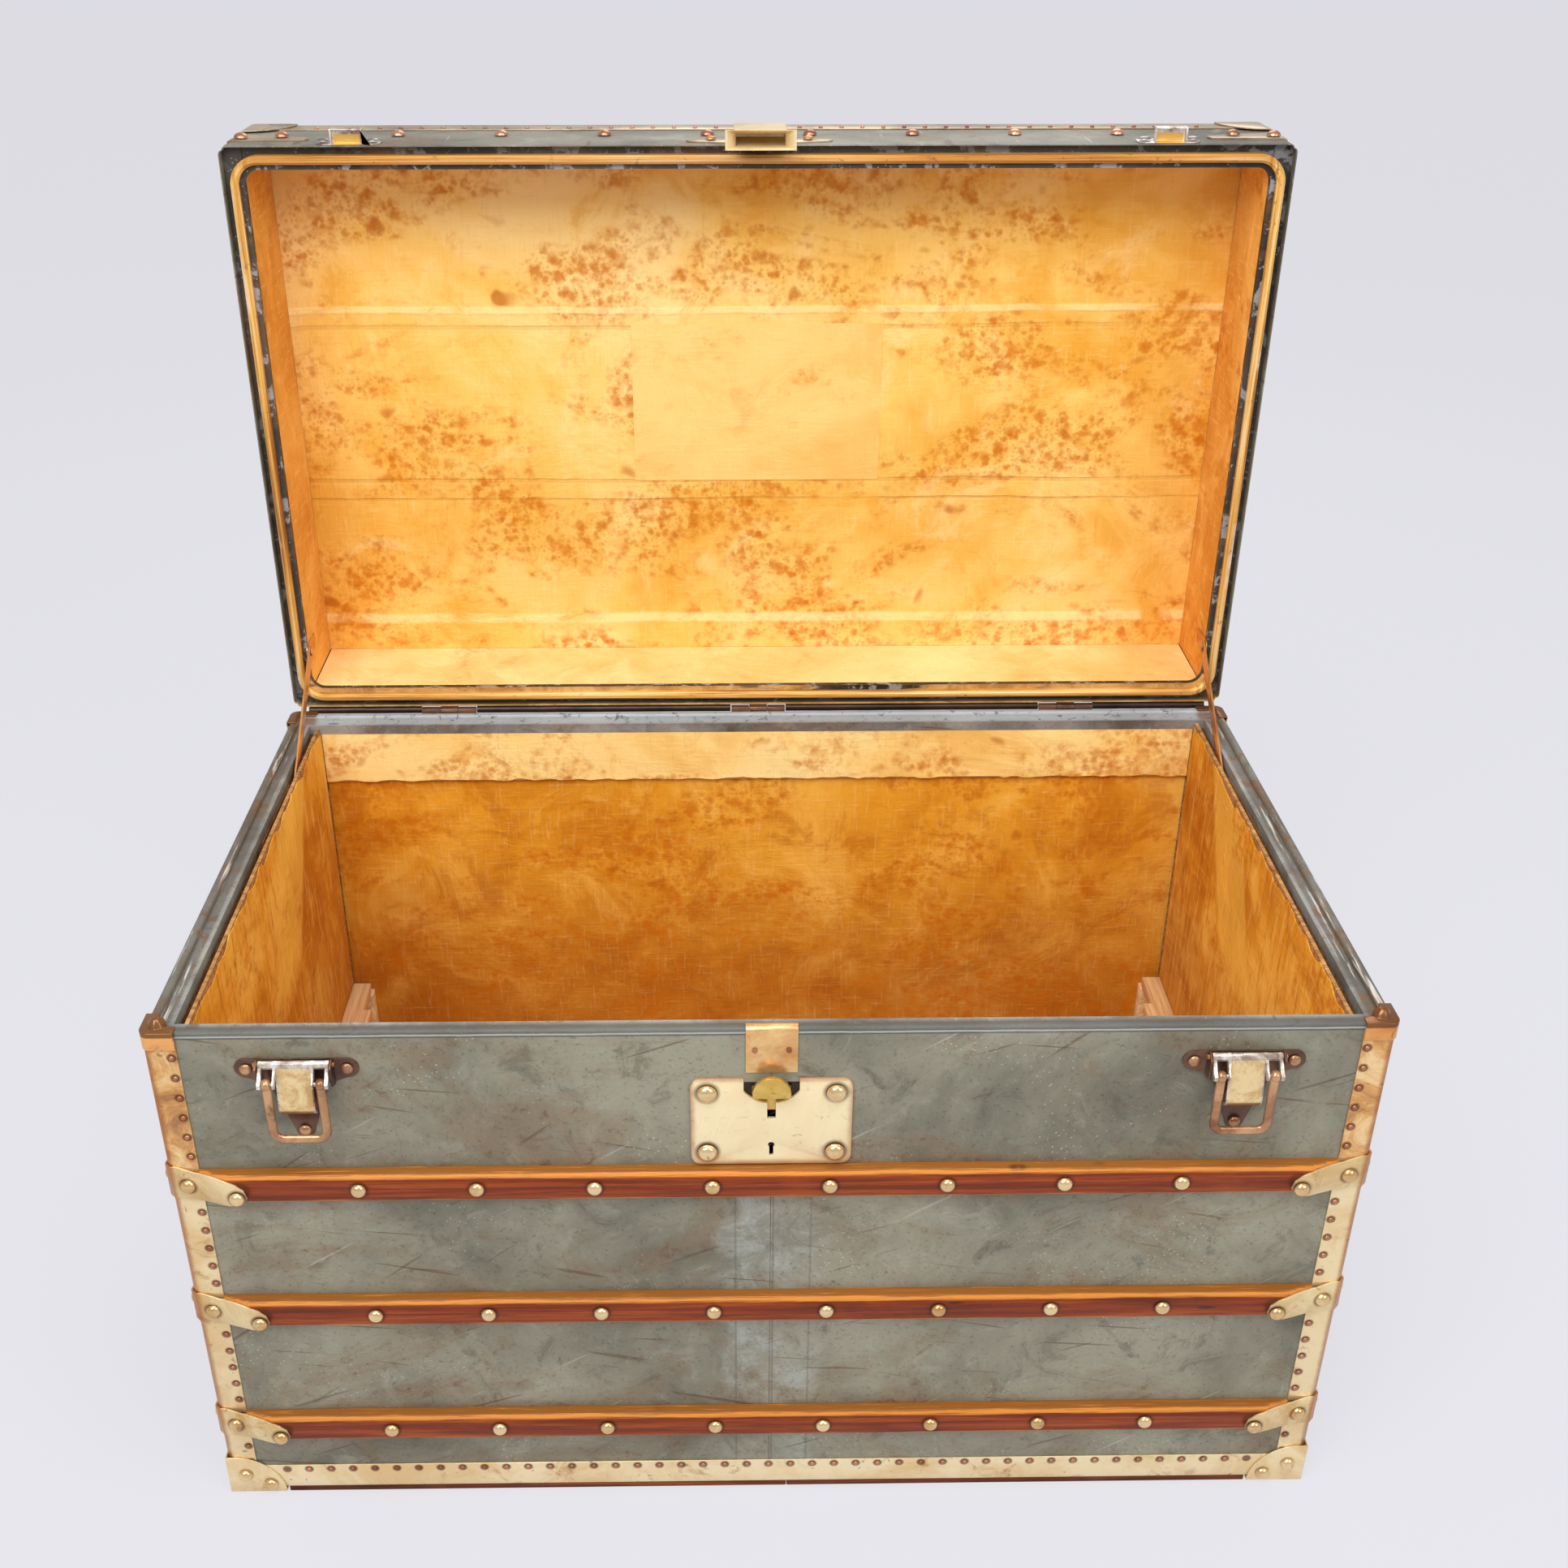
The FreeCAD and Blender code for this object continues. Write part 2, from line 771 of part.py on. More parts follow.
def edging(label, plane, middle, wall, turn):
    """Strips on the walls and over the edge of a case whose outline is in the given plane."""
    low_y, high_y = middle - side_y, middle + side_y
    low_b, high_b = middle - brass_y, middle + brass_y
    outer, outer_bends = rounded((-brass_x, brass_x), (low_b, high_b), brass_round)
    inner, inner_bends = rounded((-side_x, side_x), (low_y, high_y), size.corner_round)
    wall_ring = pad(f"{label}_wall", plane, *wall, outer, outer_bends, inner, inner_bends)
    reach = size.edge_strip_turn
    turn_ring = pad(
        f"{label}_turn", plane, *turn, outer, outer_bends,
        square((reach - side_x, side_x - reach), (low_y + reach, high_y - reach)),
    )
    ring = fuse(f"{label}_ring", wall_ring, turn_ring)
    first = min(wall[0], turn[0], key=float)
    last = max(wall[1], turn[1], key=float)
    corners = []
    for number, (across, along) in enumerate(MIRRORS):
        x = (side_x - reach, brass_x) if across > 0 else (-brass_x, reach - side_x)
        y = (high_y - reach, high_b) if along > 0 else (low_b, low_y + reach)
        if plane == "XY":
            corners.append(box(f"{label}_corner_{number}", x, y, (first, last)))
        else:
            corners.append(box(f"{label}_corner_{number}", x, (first, last), y))
    return cut(label, ring, *corners)


node(edging(
    "base_edge_strips", "XY", ZERO,
    (strip_low, strip_low + size.edge_strip_height), (strip_low, case_bottom),
))

# Corner pieces are made at a corner whose walls are x = 0 (outside is +x) and y = 0 (outside is -y)

thin = size.brass_sheet


def angle_unit():
    """Brass angle down an upright corner."""
    width, curve = size.angle_width, size.corner_round
    corners = [
        (-width, ZERO), (-width, -thin), (-curve, -thin), (thin, curve), (thin, width),
        (ZERO, width), (ZERO, curve), (-curve, ZERO),
    ]
    bends = {2: ("x", -curve, 1), 6: ("x", -curve, -1)}
    low = strip_low + size.edge_strip_height
    return pad("corner_angle", "XY", low, rim_top - size.bead_round, corners, bends)


def to_corner(shape, across, along):
    """Carries a corner piece to one of the four upright corners of the body."""
    made = shape.copy()
    if across < 0:
        made = made.mirror(Vector(), Vector(1, 0, 0))
    if along > 0:
        made = made.mirror(Vector(), Vector(0, 1, 0))
    made.translate(at(side_x * across, side_y * along, ZERO))
    return made


angle = angle_unit()
doc.recompute()
node(copies("corner_angles", [to_corner(angle.Shape, *signs) for signs in MIRRORS]))

# Brass caps that fold over the rim at the corners; those at the front carry a dome

cap_low = rim_top - size.rim_cap_skirt
cap_wall = thin * 2
cap_curve = size.corner_round + cap_wall
cap_blank = pad(
    "rim_cap_blank", "XY", cap_low, rim_top + thin,
    [(-size.angle_width, size.angle_width), (-size.angle_width, -cap_wall),
     (-size.corner_round, -cap_wall), (cap_wall, size.corner_round), (cap_wall, size.angle_width)],
    {2: ("x", -size.corner_round, 1)},
)
cap_core = pad(
    "rim_cap_core", "XY", cap_low - thin, rim_top,
    [(-size.angle_width - thin, size.angle_width + thin), (-size.angle_width - thin, -thin),
     (-size.corner_round, -thin), (thin, size.corner_round), (thin, size.angle_width + thin)],
    {2: ("x", -size.corner_round, 1)},
)
cap_opening = box(
    "rim_cap_opening",
    (-size.angle_width - thin, -size.bead_width),
    (size.bead_width, size.angle_width + thin),
    (cap_low, rim_top + thin * 2),
)
plain_cap = cut("plain_rim_cap", cap_blank, cap_core, cap_opening)
rim_dome = dome("rim_dome", size.rim_dome_radius, size.rim_dome_rise, 8, 2)
doc.recompute()
dome_shape = turned(
    rim_dome.Shape, Rotation(), at(-size.rim_dome_setback, size.rim_dome_setback, rim_top + thin)
)
stem = bar("rim_dome_stem", size.rim_dome_radius, -size.rim_dome_setback, size.rim_dome_setback,
           (shoulder, rim_top + thin), "Z", 8)
doc.recompute()
stem_shape = stem.Shape
bead_block = Part.makeBox(
    float(size.bead_width), float(size.bead_width), float(size.bead_rise),
    at(-size.bead_width, ZERO, shoulder),
)
bead_arm = Part.makeBox(
    float(size.angle_width), float(size.bead_width), float(size.bead_rise),
    at(-size.angle_width, ZERO, shoulder),
)
bead_leg = Part.makeBox(
    float(size.bead_width), float(size.angle_width), float(size.bead_rise),
    at(-size.bead_width, ZERO, shoulder),
)
stem_shape = stem_shape.cut(bead_block).cut(bead_arm).cut(bead_leg)
front_cap = plain_cap.Shape.fuse(dome_shape).fuse(stem_shape).removeSplitter()
node(copies("rim_corner_caps", [
    to_corner(front_cap if along < 0 else plain_cap.Shape, across, along)
    for across, along in MIRRORS
]))

# Brass caps over the bottom and lid corners, three-sided, each side a bulging quarter

def quarter(label, plane, low, high, across, up):
    """The bulging quarter that trims one side of a corner cap, seen square on."""
    (near, far), (foot, head) = across, up
    turn = 1 if float(far) < float(near) else -1
    corners = [(near, foot), (far, foot), (near, head)]
    bends = {1: ("x", near + (near - far) * -0.12, -turn)}
    return pad(label, plane, low, high, corners, bends)


def corner_cap_unit():
    """Corner cap with its walls at x = 0 and y = 0 and its floor at z = 0, outside below."""
    wall = size.brass_sheet
    reach, rise = size.cap_reach, size.cap_rise
    outer = box("cap_outer", (-reach, wall), (-wall, reach), (-wall, rise))
    inner = box("cap_inner", (-reach - wall, ZERO), (ZERO, reach + wall), (ZERO, rise + wall))
    shell = cut("cap_shell", outer, inner)
    front = quarter("cap_front_trim", "XZ", -wall * 2, reach * 2, (wall, -reach), (-wall, rise))
    side = quarter("cap_side_trim", "YZ", -reach * 2, wall * 2, (-wall, reach), (-wall, rise))
    floor = quarter("cap_floor_trim", "XY", -wall * 2, rise * 2, (wall, -reach), (-wall, reach))
    return common("corner_cap", shell, front, side, floor)


corner_cap = corner_cap_unit()
doc.recompute()


def base_cap(across, along):
    made = corner_cap.Shape.copy()
    made.translate(at(thin, -thin, size.cap_ground_gap + thin))
    return to_corner(made, across, along)


node(copies("base_corner_caps", [base_cap(*signs) for signs in MIRRORS]))

# Slats: a bar with ramped ends and chamfered outer edges, its back at y = 0, outside is -y

def slat_unit(label, half):
    thick, end, ramp = size.slat_thickness, size.slat_end, size.slat_ramp
    corners = [
        (-half, ZERO), (-half, -end), (ramp - half, -thick), (half - ramp, -thick),
        (half, -end), (half, ZERO),
    ]
    body = pad(label, "XY", -size.slat_height / 2, size.slat_height / 2, corners)

    def outer_edge(points):
        level = abs(points[0].z - points[1].z) < float(size.seam_gap) / 10
        return level and all(point.y < -float(end) / 2 for point in points)

    return soften(body, size.slat_chamfer, outer_edge, "Chamfer")


long_half = side_x - size.angle_width
short_half = side_y - size.angle_width
long_slat = slat_unit("long_slat", long_half)
short_slat = slat_unit("short_slat", short_half)
doc.recompute()
top_slat = lock_low - size.lock_slat_gap - size.slat_height / 2
low_slat = strip_low + size.edge_strip_height + size.low_slat_gap + size.slat_height / 2
slat_heights = [top_slat, (top_slat + low_slat) / 2, low_slat]
ABOUT_Z = Vector(0, 0, 1)
node(copies("front_slats", [
    turned(long_slat.Shape, Rotation(), at(ZERO, -side_y, height)) for height in slat_heights
]))
node(copies("rear_slats", [
    turned(long_slat.Shape, Rotation(ABOUT_Z, 180), at(ZERO, side_y, height)) for height in slat_heights
]))
node(copies("end_slats", [
    turned(short_slat.Shape, Rotation(ABOUT_Z, 90 * sign), at(side_x * sign, ZERO, height))
    for sign in (1, -1) for height in slat_heights
]))

# Clamps: brass straps that take two slat ends round a corner, leaf-shaped seen square on.
# They turn the corner on one flat that touches the round under it.

BEVEL_SHARE = math.tan(math.pi / 8)


def leaf(label, plane, low, high, sign, reach):
    """The outline of a clamp on one wall; sign gives the way from the corner to the tip."""
    tip = size.clamp_tip
    start = reach - tip
    way = as_size(sign)
    corners = [
        (way * -size.angle_width, -size.clamp_below),
        (way * start, -size.clamp_below),
        (way * (start + tip * 0.71), tip * 0.29 - size.clamp_below),
        (way * reach, tip - size.clamp_below),
        (way * (start + tip * 0.71), tip * 1.71 - size.clamp_below),
        (way * start, tip * 2 - size.clamp_below),
        (way * size.corner_round, size.clamp_above),
        (way * -size.angle_width, size.clamp_above),
    ]
    return pad(label, plane, low, high, corners)


def clamp_unit(label, stand, reach, landing, under):
    """A strap from a slat of some thickness, down its ramp, round the corner and up the next one."""
    sheet_t = size.clamp_sheet
    ramp_start = landing + size.slat_ramp
    low_end = size.slat_end if float(stand) > 0 else ZERO
    flat = size.clamp_landing
    inner_place = size.corner_round - (size.corner_round + under) * BEVEL_SHARE
    outer_place = size.corner_round - (size.corner_round + under + sheet_t) * BEVEL_SHARE
    inside = [(reach, stand), (ramp_start, stand), (landing, low_end), (flat, under)]
    if float(stand) == float(under):
        inside = [(reach, stand)]
    front_outer = [(-u, -(p + sheet_t)) for u, p in inside]
    end_outer = [(p + sheet_t, u) for u, p in reversed(inside)]
    end_inner = [(p, u) for u, p in inside]
    front_inner = [(-u, -p) for u, p in reversed(inside)]
    corners = (
        front_outer + [(-outer_place, -(under + sheet_t)), (under + sheet_t, outer_place)] + end_outer
        + end_inner + [(under, inner_place), (-inner_place, -under)] + front_inner
    )
    wrap_body = pad(label + "_wrap", "XY", -size.clamp_below, size.clamp_above, corners)
    far = size.slat_thickness + reach
    front_leaf = leaf(label + "_front_leaf", "XZ", -far, far, -1, reach)
    end_leaf = leaf(label + "_end_leaf", "YZ", -far, far, 1, reach)
    return common(label, wrap_body, front_leaf, end_leaf)


slat_clamp = clamp_unit(
    "slat_clamp", size.slat_thickness, size.clamp_reach, size.angle_width, thin
)
doc.recompute()
node(copies("slat_clamps", [
    turned(to_corner(slat_clamp.Shape, *signs), Rotation(), at(ZERO, ZERO, height))
    for signs in MIRRORS for height in slat_heights
]))

# Dome rivets through the slats and the clamps

slat_head = dome("slat_rivet_head", size.rivet_radius, size.rivet_rise)


def rivet_line(length):
    """Evenly pitched places along a slat, about its middle."""
    count = int((float(length) - 2 * float(size.rivet_end_margin)) // float(size.rivet_pitch)) + 1
    return [size.rivet_pitch * (number - (count - 1) / 2) for number in range(count)]


slat_face = size.slat_thickness
places = []
for height in slat_heights:
    for x in rivet_line(size.trunk_length):
        places.append((at(x, -side_y - slat_face, height), "front"))
        places.append((at(x, side_y + slat_face, height), "rear"))
    for y in rivet_line(size.trunk_depth):
        places.append((at(-side_x - slat_face, y, height), "left"))
        places.append((at(side_x + slat_face, y, height), "right"))

clamp_face = slat_face + size.clamp_sheet
tip_place = size.clamp_reach - size.clamp_tip
tip_drop = size.clamp_below - size.clamp_tip
for height in slat_heights:
    for across, along in MIRRORS:
        front = "front" if along < 0 else "rear"
        end = "left" if across < 0 else "right"
        places += [
            (at((side_x - tip_place) * across, (side_y + clamp_face) * along, height - tip_drop), front),
            (at((side_x + clamp_face) * across, (side_y - tip_place) * along, height - tip_drop), end),
        ]
node(copies("slat_rivets", heads(slat_head, places)))

# Lock: plate, case, spring catch, spring and rivets

lock_half = size.lock_width / 2
notch_half = size.lock_notch_width / 2
plate_corners, plate_bends = rounded(
    (-lock_half, lock_half), (lock_low, lock_top), size.lock_round
)
notch_floor = lock_top - size.lock_notch_depth
sag = size.lock_notch_sag
notch_rise = (notch_half * notch_half - sag * sag) / (sag * 2)
plate = pad("lock_plate_blank", "XZ", -side_y - size.lock_sheet, -side_y, plate_corners, plate_bends)
tool_front = -side_y - size.lock_sheet * 2
tool_back = -side_y + size.lock_sheet
notch = pad(
    "lock_notch", "XZ", tool_front, tool_back,
    [(-notch_half, lock_top + sag), (-notch_half, notch_floor), (notch_half, notch_floor),
     (notch_half, lock_top + sag)],
    {1: ("y", notch_floor + notch_rise, 1)},
)
slot_top = lock_top - size.lock_slot_drop
lock_slot = box(
    "lock_slot", (-size.lock_slot_width / 2, size.lock_slot_width / 2), (tool_front, tool_back),
    (slot_top - size.lock_slot_height, slot_top),
)
keyhole = lock_low + size.keyhole_rise
key_round = bar("keyhole_round", size.keyhole_radius, ZERO, (tool_front, tool_back), keyhole, "Y")
key_slit = box(
    "keyhole_slit_cut", (-size.keyhole_slit / 2, size.keyhole_slit / 2), (tool_front, tool_back),
    (keyhole - size.keyhole_length, keyhole),
)
node(cut("lock_plate", plate, notch, lock_slot, key_round, key_slit))

lock_head = dome("lock_rivet_head", size.lock_rivet_radius, size.lock_rivet_rise, 8, 2)
inset = size.lock_rivet_inset
lock_head_places = [
    (at((lock_half - inset) * across, -side_y - size.lock_sheet, height), "front")
    for across in (1, -1)
    for height in (lock_low + inset, lock_top - inset)
]

case_half = size.lock_case_width / 2
case_back = size.lock_case_depth - side_y
catch_half = size.catch_width / 2
cavity_half = catch_half + size.catch_slack * 2
cavity_low = case_low + size.lock_case_wall
node(cut(
    "lock_case",
    box("lock_case_blank", (-case_half, case_half), (-side_y, case_back), (case_low, case_high)),
    box("lock_cavity", (-cavity_half, cavity_half),
        (-side_y - size.lock_case_wall, case_back - size.lock_case_wall),
        (cavity_low, case_high - size.lock_case_wall)),
))

shelf_top = lock_top - size.catch_shelf_drop
shelf_low = shelf_top - size.catch_shelf
stem_low = shelf_top - size.catch_stem
tongue_back = -side_y - size.catch_stand
tongue_front = tongue_back - size.catch_tongue
stem = box("catch_stem_block", (-catch_half - size.catch_slack, catch_half + size.catch_slack),
           (size.catch_slack - side_y, case_back - size.lock_case_wall - size.catch_slack),
           (stem_low, shelf_top))
shelf = box("catch_shelf_block", (-catch_half, catch_half), (tongue_front, size.catch_shelf - side_y),
            (shelf_low, shelf_top))
tongue = pad(
    "catch_tongue_disc", "XZ", tongue_front, tongue_back,
    [(-catch_half, shelf_low), (catch_half, shelf_low), (catch_half, shelf_top),
     (-catch_half, shelf_top)],
    {2: ("y", shelf_top, 1)},
)
node(fuse("lock_catch", stem, shelf, tongue))

leaf_t = size.catch_leaf
half_leaf = leaf_t / 2
leaf_step = (stem_low - cavity_low - leaf_t) / 3
spring_half = catch_half - size.catch_slack * 3
mitre = half_leaf * spring_half * 2 / leaf_step
spring_foot = cavity_low + half_leaf
spring_head = stem_low - half_leaf
node(pad(
    "catch_spring", "XZ", size.catch_shelf - side_y, size.catch_shelf + leaf_t * 3 - side_y,
    [(-spring_half, spring_foot - half_leaf), (spring_half + mitre, spring_foot + leaf_step),
     (mitre - spring_half, spring_foot + leaf_step * 2), (spring_half, spring_head - half_leaf),
     (spring_half, spring_head + half_leaf), (-spring_half - mitre, spring_foot + leaf_step * 2),
     (spring_half - mitre, spring_foot + leaf_step), (-spring_half, spring_foot + half_leaf)],
))

# Brass strap over the rim above the lock

strap_low = lock_top + size.strap_gap

strap_half = size.strap_width / 2
bead_middle_y = size.bead_round - side_y
bead_middle_z = rim_top - size.bead_round
strap_end = bead_middle_y + size.strap_hook
node(pad(
    "rim_strap", "YZ", -strap_half, strap_half,
    [(-side_y, strap_low), (-side_y, bead_middle_z), (bead_middle_y, rim_top),
     (strap_end, rim_top), (strap_end, rim_top + thin), (bead_middle_y, rim_top + thin),
     (-side_y - thin, bead_middle_z), (-side_y - thin, strap_low)],
    {1: ("x", bead_middle_y, -1), 5: ("x", bead_middle_y, 1)},
))

# Draw latches: base plate with cheeks, pin, lever with tongue, ring

latch_z = rim_top - size.latch_drop


def stand(length):
    """A place in front of the front wall."""
    return -side_y - length


def lever_profile():
    """Tongue of the lever, seen from the right: down from the barrel, curled in at the tip."""
    axis_y, axis_z = stand(size.lever_axis_stand), latch_z + size.lever_axis_rise
    t = size.tongue_sheet
    outer = stand(size.tongue_stand)
    tip = latch_z - size.tongue_tip_drop
    curl = size.tongue_stand - size.lever_axis_stand
    return [
        (axis_y - t, axis_z + t), (axis_y, axis_z),
        (outer + t, tip + curl), (axis_y, tip + t), (axis_y, tip), (outer, tip + curl),
    ]


def latch(side, middle):
    """One latch, its middle at a place along the front."""
    ear = size.latch_ear_spacing / 2
    ear_r = size.latch_ear_radius
    ear_z = latch_z
    foot_r, foot_z = size.latch_foot_radius, latch_z - size.latch_foot_drop
    neck, neck_z = size.latch_neck, latch_z - size.latch_neck_drop
    plate_front = stand(size.latch_sheet)
    base_plate = pad(
        f"{side}_latch_plate", "XZ", plate_front, -side_y,
        [(middle - ear, ear_z + ear_r), (middle - ear, ear_z - ear_r), (middle - neck, neck_z),
         (middle - foot_r, foot_z), (middle + foot_r, foot_z), (middle + neck, neck_z),
         (middle + ear, ear_z - ear_r), (middle + ear, ear_z + ear_r)],
        {0: ("x", middle - ear, 1), 3: ("y", foot_z, 1), 6: ("x", middle + ear, 1)},
    )
    half = size.cheek_spacing / 2
    axis_y, axis_z = stand(size.lever_axis_stand), latch_z + size.lever_axis_rise
    nose = size.latch_ear_radius / 2
    cheeks = []
    for sign in (-1, 1):
        low = middle + half if sign > 0 else middle - half - size.cheek_sheet
        blank = pad(
            f"{side}_cheek_{sign + 2}", "YZ", low, low + size.cheek_sheet,
            [(plate_front, ear_z + ear_r), (plate_front, neck_z), (stand(size.tongue_stand) + nose, neck_z + nose),
             (axis_y - nose * 1.5, axis_z), (axis_y, axis_z + nose)],
        )
        cheeks.append(blank)
    pin_hole = bore(f"{side}_cheek_hole", size.lever_pin + size.running_gap,
                        (middle - half * 2, middle + half * 2), axis_y, axis_z)
    base = cut(f"{side}_latch_base", fuse(f"{side}_latch_sheet", base_plate, *cheeks), pin_hole)
    pin_half = half + size.cheek_sheet * 2
    pin = bar(f"{side}_latch_pin", size.lever_pin, (middle - pin_half, middle + pin_half),
              axis_y, axis_z, sides=8)

    # lever
    tongue_half = size.tongue_width / 2
    reach = half - size.slide_gap * 2
    ring_y, ring_z = stand(size.ring_axis_stand), latch_z - size.ring_axis_drop
    barrel = bar(f"{side}_lever_barrel", size.lever_barrel, (middle - reach, middle + reach),
                 axis_y, axis_z)
    tongue_piece = pad(
        f"{side}_lever_tongue", "YZ", middle - tongue_half, middle + tongue_half, lever_profile(),
        {2: ("y", latch_z - size.tongue_tip_drop + size.tongue_stand - size.lever_axis_stand, 1),
         4: ("y", latch_z - size.tongue_tip_drop + size.tongue_stand - size.lever_axis_stand, -1)},
    )
    pieces = [barrel, tongue_piece]
    lug = size.lug_sheet
    lug_r = size.ring_eye
    root_r = size.lever_barrel + size.slide_gap
    for sign in (-1, 1):
        for start in (tongue_half, reach - lug):
            low = middle + start if sign > 0 else middle - start - lug
            pieces.append(pad(
                f"{side}_lug_{sign + 2}_{int(float(start))}", "YZ", low, low + lug,
                [(axis_y, axis_z + root_r), (axis_y, axis_z - root_r),
                 (ring_y, ring_z - lug_r), (ring_y - lug_r * 0.9, ring_z - lug_r * 0.4),
                 (ring_y - lug_r * 0.9, ring_z + lug_r * 0.4), (ring_y, ring_z + lug_r)],
            ))
        first = middle + tongue_half if sign > 0 else middle - reach
        pieces.append(bar(f"{side}_ring_pin_{sign + 2}", size.ring_pin,
                          (first, first + reach - tongue_half), ring_y, ring_z, sides=8))
    lever_bore = bore(f"{side}_lever_bore", size.lever_pin + size.running_gap,
                      (middle - half * 2, middle + half * 2), axis_y, axis_z)
    lever = cut(f"{side}_latch_lever", fuse(f"{side}_lever_blank", *pieces), lever_bore)

    # ring
    leg_x = size.ring_width / 2 - size.ring_rod
    ring = ring_solid(f"{side}_latch_ring", middle, leg_x, ring_y, ring_z)
    return base, pin, lever, ring


def ring_solid(label, middle, leg_x, ring_y, ring_z):
    """A rod bent to a squared U, with an eye at each end on the lever's pins."""
    doc.recompute()
    bend, rod_r = float(size.ring_bend), float(size.ring_rod)
    x0, x1 = float(middle - leg_x), float(middle + leg_x)
    y, top = float(ring_y), float(ring_z)
    low = top - float(size.ring_length)
    path = [
        Vector(x0, y, top), Vector(x0, y, low + bend), Vector(x0 + bend, y, low),
        Vector(x1 - bend, y, low), Vector(x1, y, low + bend), Vector(x1, y, top),
    ]
    ways = [(after - before).normalize() for before, after in zip(path, path[1:])]
    ways = [ways[0]] + ways + [ways[-1]]
    angles = [math.radians(45 * number + 22.5) for number in range(8)]
    rings = []
    for place, before, after in zip(path, ways, ways[1:]):
        half_way = (before + after).normalize()
        side = Vector(half_way.z, 0, -half_way.x) / half_way.dot(after)
        rings.append([
            place + side * (rod_r * math.cos(angle)) + Vector(0, rod_r * math.sin(angle), 0)
            for angle in angles
        ])
    solid = faceted(f"{label}_rod", rings).Shape
    eye_half = size.ring_rod + size.slide_gap / 2
    eyes, holes = [], []
    for number, middle_x in enumerate((middle - leg_x, middle + leg_x), 1):
        eyes.append(bar(f"{label}_eye_{number}", size.ring_eye,
                        (middle_x - eye_half, middle_x + eye_half), ring_y, ring_z))
        holes.append(bore(f"{label}_hole_{number}", size.ring_pin + size.running_gap,
                          (middle_x - eye_half * 2, middle_x + eye_half * 2), ring_y, ring_z))
    doc.recompute()
    for eye in eyes:
        solid = solid.fuse(eye.Shape)
    for hole in holes:
        solid = solid.cut(hole.Shape)
    made = doc.addObject("Part::Feature", label)
    made.Shape = solid.removeSplitter()
    return made


latch_half = side_x - size.latch_inset
left_parts = latch("left", -latch_half)
right_parts = latch("right", latch_half)
for piece in (left_parts[0], right_parts[0]):
    node(piece)
node(group("latch_pins", left_parts[1], right_parts[1]))
for pieces in (left_parts, right_parts):
    node(pieces[2])
    node(pieces[3])

latch_head = dome("latch_rivet_head", size.latch_rivet_radius, size.latch_rivet_rise)
places = []
for middle in (-latch_half, latch_half):
    for x, z in (
        (-size.latch_ear_spacing / 2, latch_z),
        (size.latch_ear_spacing / 2, latch_z),
        (ZERO, latch_z - size.latch_foot_drop),
    ):
        places.append((at(middle + x, stand(size.latch_sheet), z), "front"))
node(copies("front_rivets", heads(lock_head, lock_head_places) + heads(latch_head, places)))

# End handles: leather grips on pins in brass brackets

def handle(side, sign):
    """A grip and its two brackets on one end wall."""
    wall = side_x * sign
    outward = as_size(sign)
    half = size.handle_spacing / 2
    pivot_x = wall + outward * size.handle_stand
    pivot_z = rim_top - size.handle_rim_drop
    eye_half = size.handle_eye_width / 2
    thick = size.handle_leather / 2
    outer = half + eye_half
    inner = half - eye_half
    low = pivot_z - size.handle_drop
    curve = size.handle_grip
    grip = pad(
        f"{side}_grip_blank", "YZ", pivot_x - thick, pivot_x + thick,
        [(-outer, pivot_z), (-outer, low + curve), (curve - outer, low), (outer - curve, low),
         (outer, low + curve), (outer, pivot_z), (inner, pivot_z), (inner, low + curve * 1.3),
         (inner - curve * 0.3, low + curve), (curve * 0.3 - inner, low + curve),
         (-inner, low + curve * 1.3), (-inner, pivot_z)],
        {1: ("x", curve - outer, 1), 3: ("x", outer - curve, 1)},
    )

    eyes = [
        bar(f"{side}_eye_{number}", size.handle_eye, pivot_x,
            (middle - eye_half, middle + eye_half), pivot_z, "Y")
        for number, middle in enumerate((-half, half), 1)
    ]
    grip_bore = bore(f"{side}_handle_bore", size.handle_pin + size.running_gap * 2, pivot_x,
                     (-outer * 2, outer * 2), pivot_z, "Y")
    grip_done = cut(f"{side}_handle", fuse(f"{side}_handle_blank", grip, *eyes), grip_bore)

    brackets = []
    sheet_t, lug = size.bracket_sheet, size.bracket_lug
    plate_x = (wall, wall + sheet_t) if sign > 0 else (wall - sheet_t, wall)
    lug_r = size.handle_eye - size.slide_gap
    for number, middle in enumerate((-half, half), 1):
        plate = box(
            f"{side}_bracket_plate_{number}", plate_x,
            (middle - size.bracket_width / 2, middle + size.bracket_width / 2),
            (pivot_z - size.bracket_height / 2, pivot_z + size.bracket_height / 2),
        )
        lugs = []
        for start in (-1, 1):
            gap = eye_half + size.slide_gap
            first = middle + gap if start > 0 else middle - gap - lug
            block = box(
                f"{side}_lug_block_{number}_{start + 2}",
                (wall, pivot_x) if sign > 0 else (pivot_x, wall),
                (first, first + lug), (pivot_z - lug_r, pivot_z + lug_r),
            )
            nose = bar(f"{side}_lug_nose_{number}_{start + 2}", lug_r, pivot_x,
                       (first, first + lug), pivot_z, "Y")
            lugs += [block, nose]
        pin_reach = eye_half + size.slide_gap + lug
        pin = bar(f"{side}_handle_pin_{number}", size.handle_pin, pivot_x,
                  (middle - pin_reach, middle + pin_reach), pivot_z, "Y", 8)
        brackets.append(fuse(f"{side}_bracket_{number}", plate, pin, *lugs))
    return grip_done, brackets


left_grip, left_brackets = handle("left", -1)
right_grip, right_brackets = handle("right", 1)
node(left_grip)
node(right_grip)
node(group("handle_brackets", *left_brackets, *right_brackets))

# The lid stands open: its rim plane is upright behind the hinge line, its front wall on top

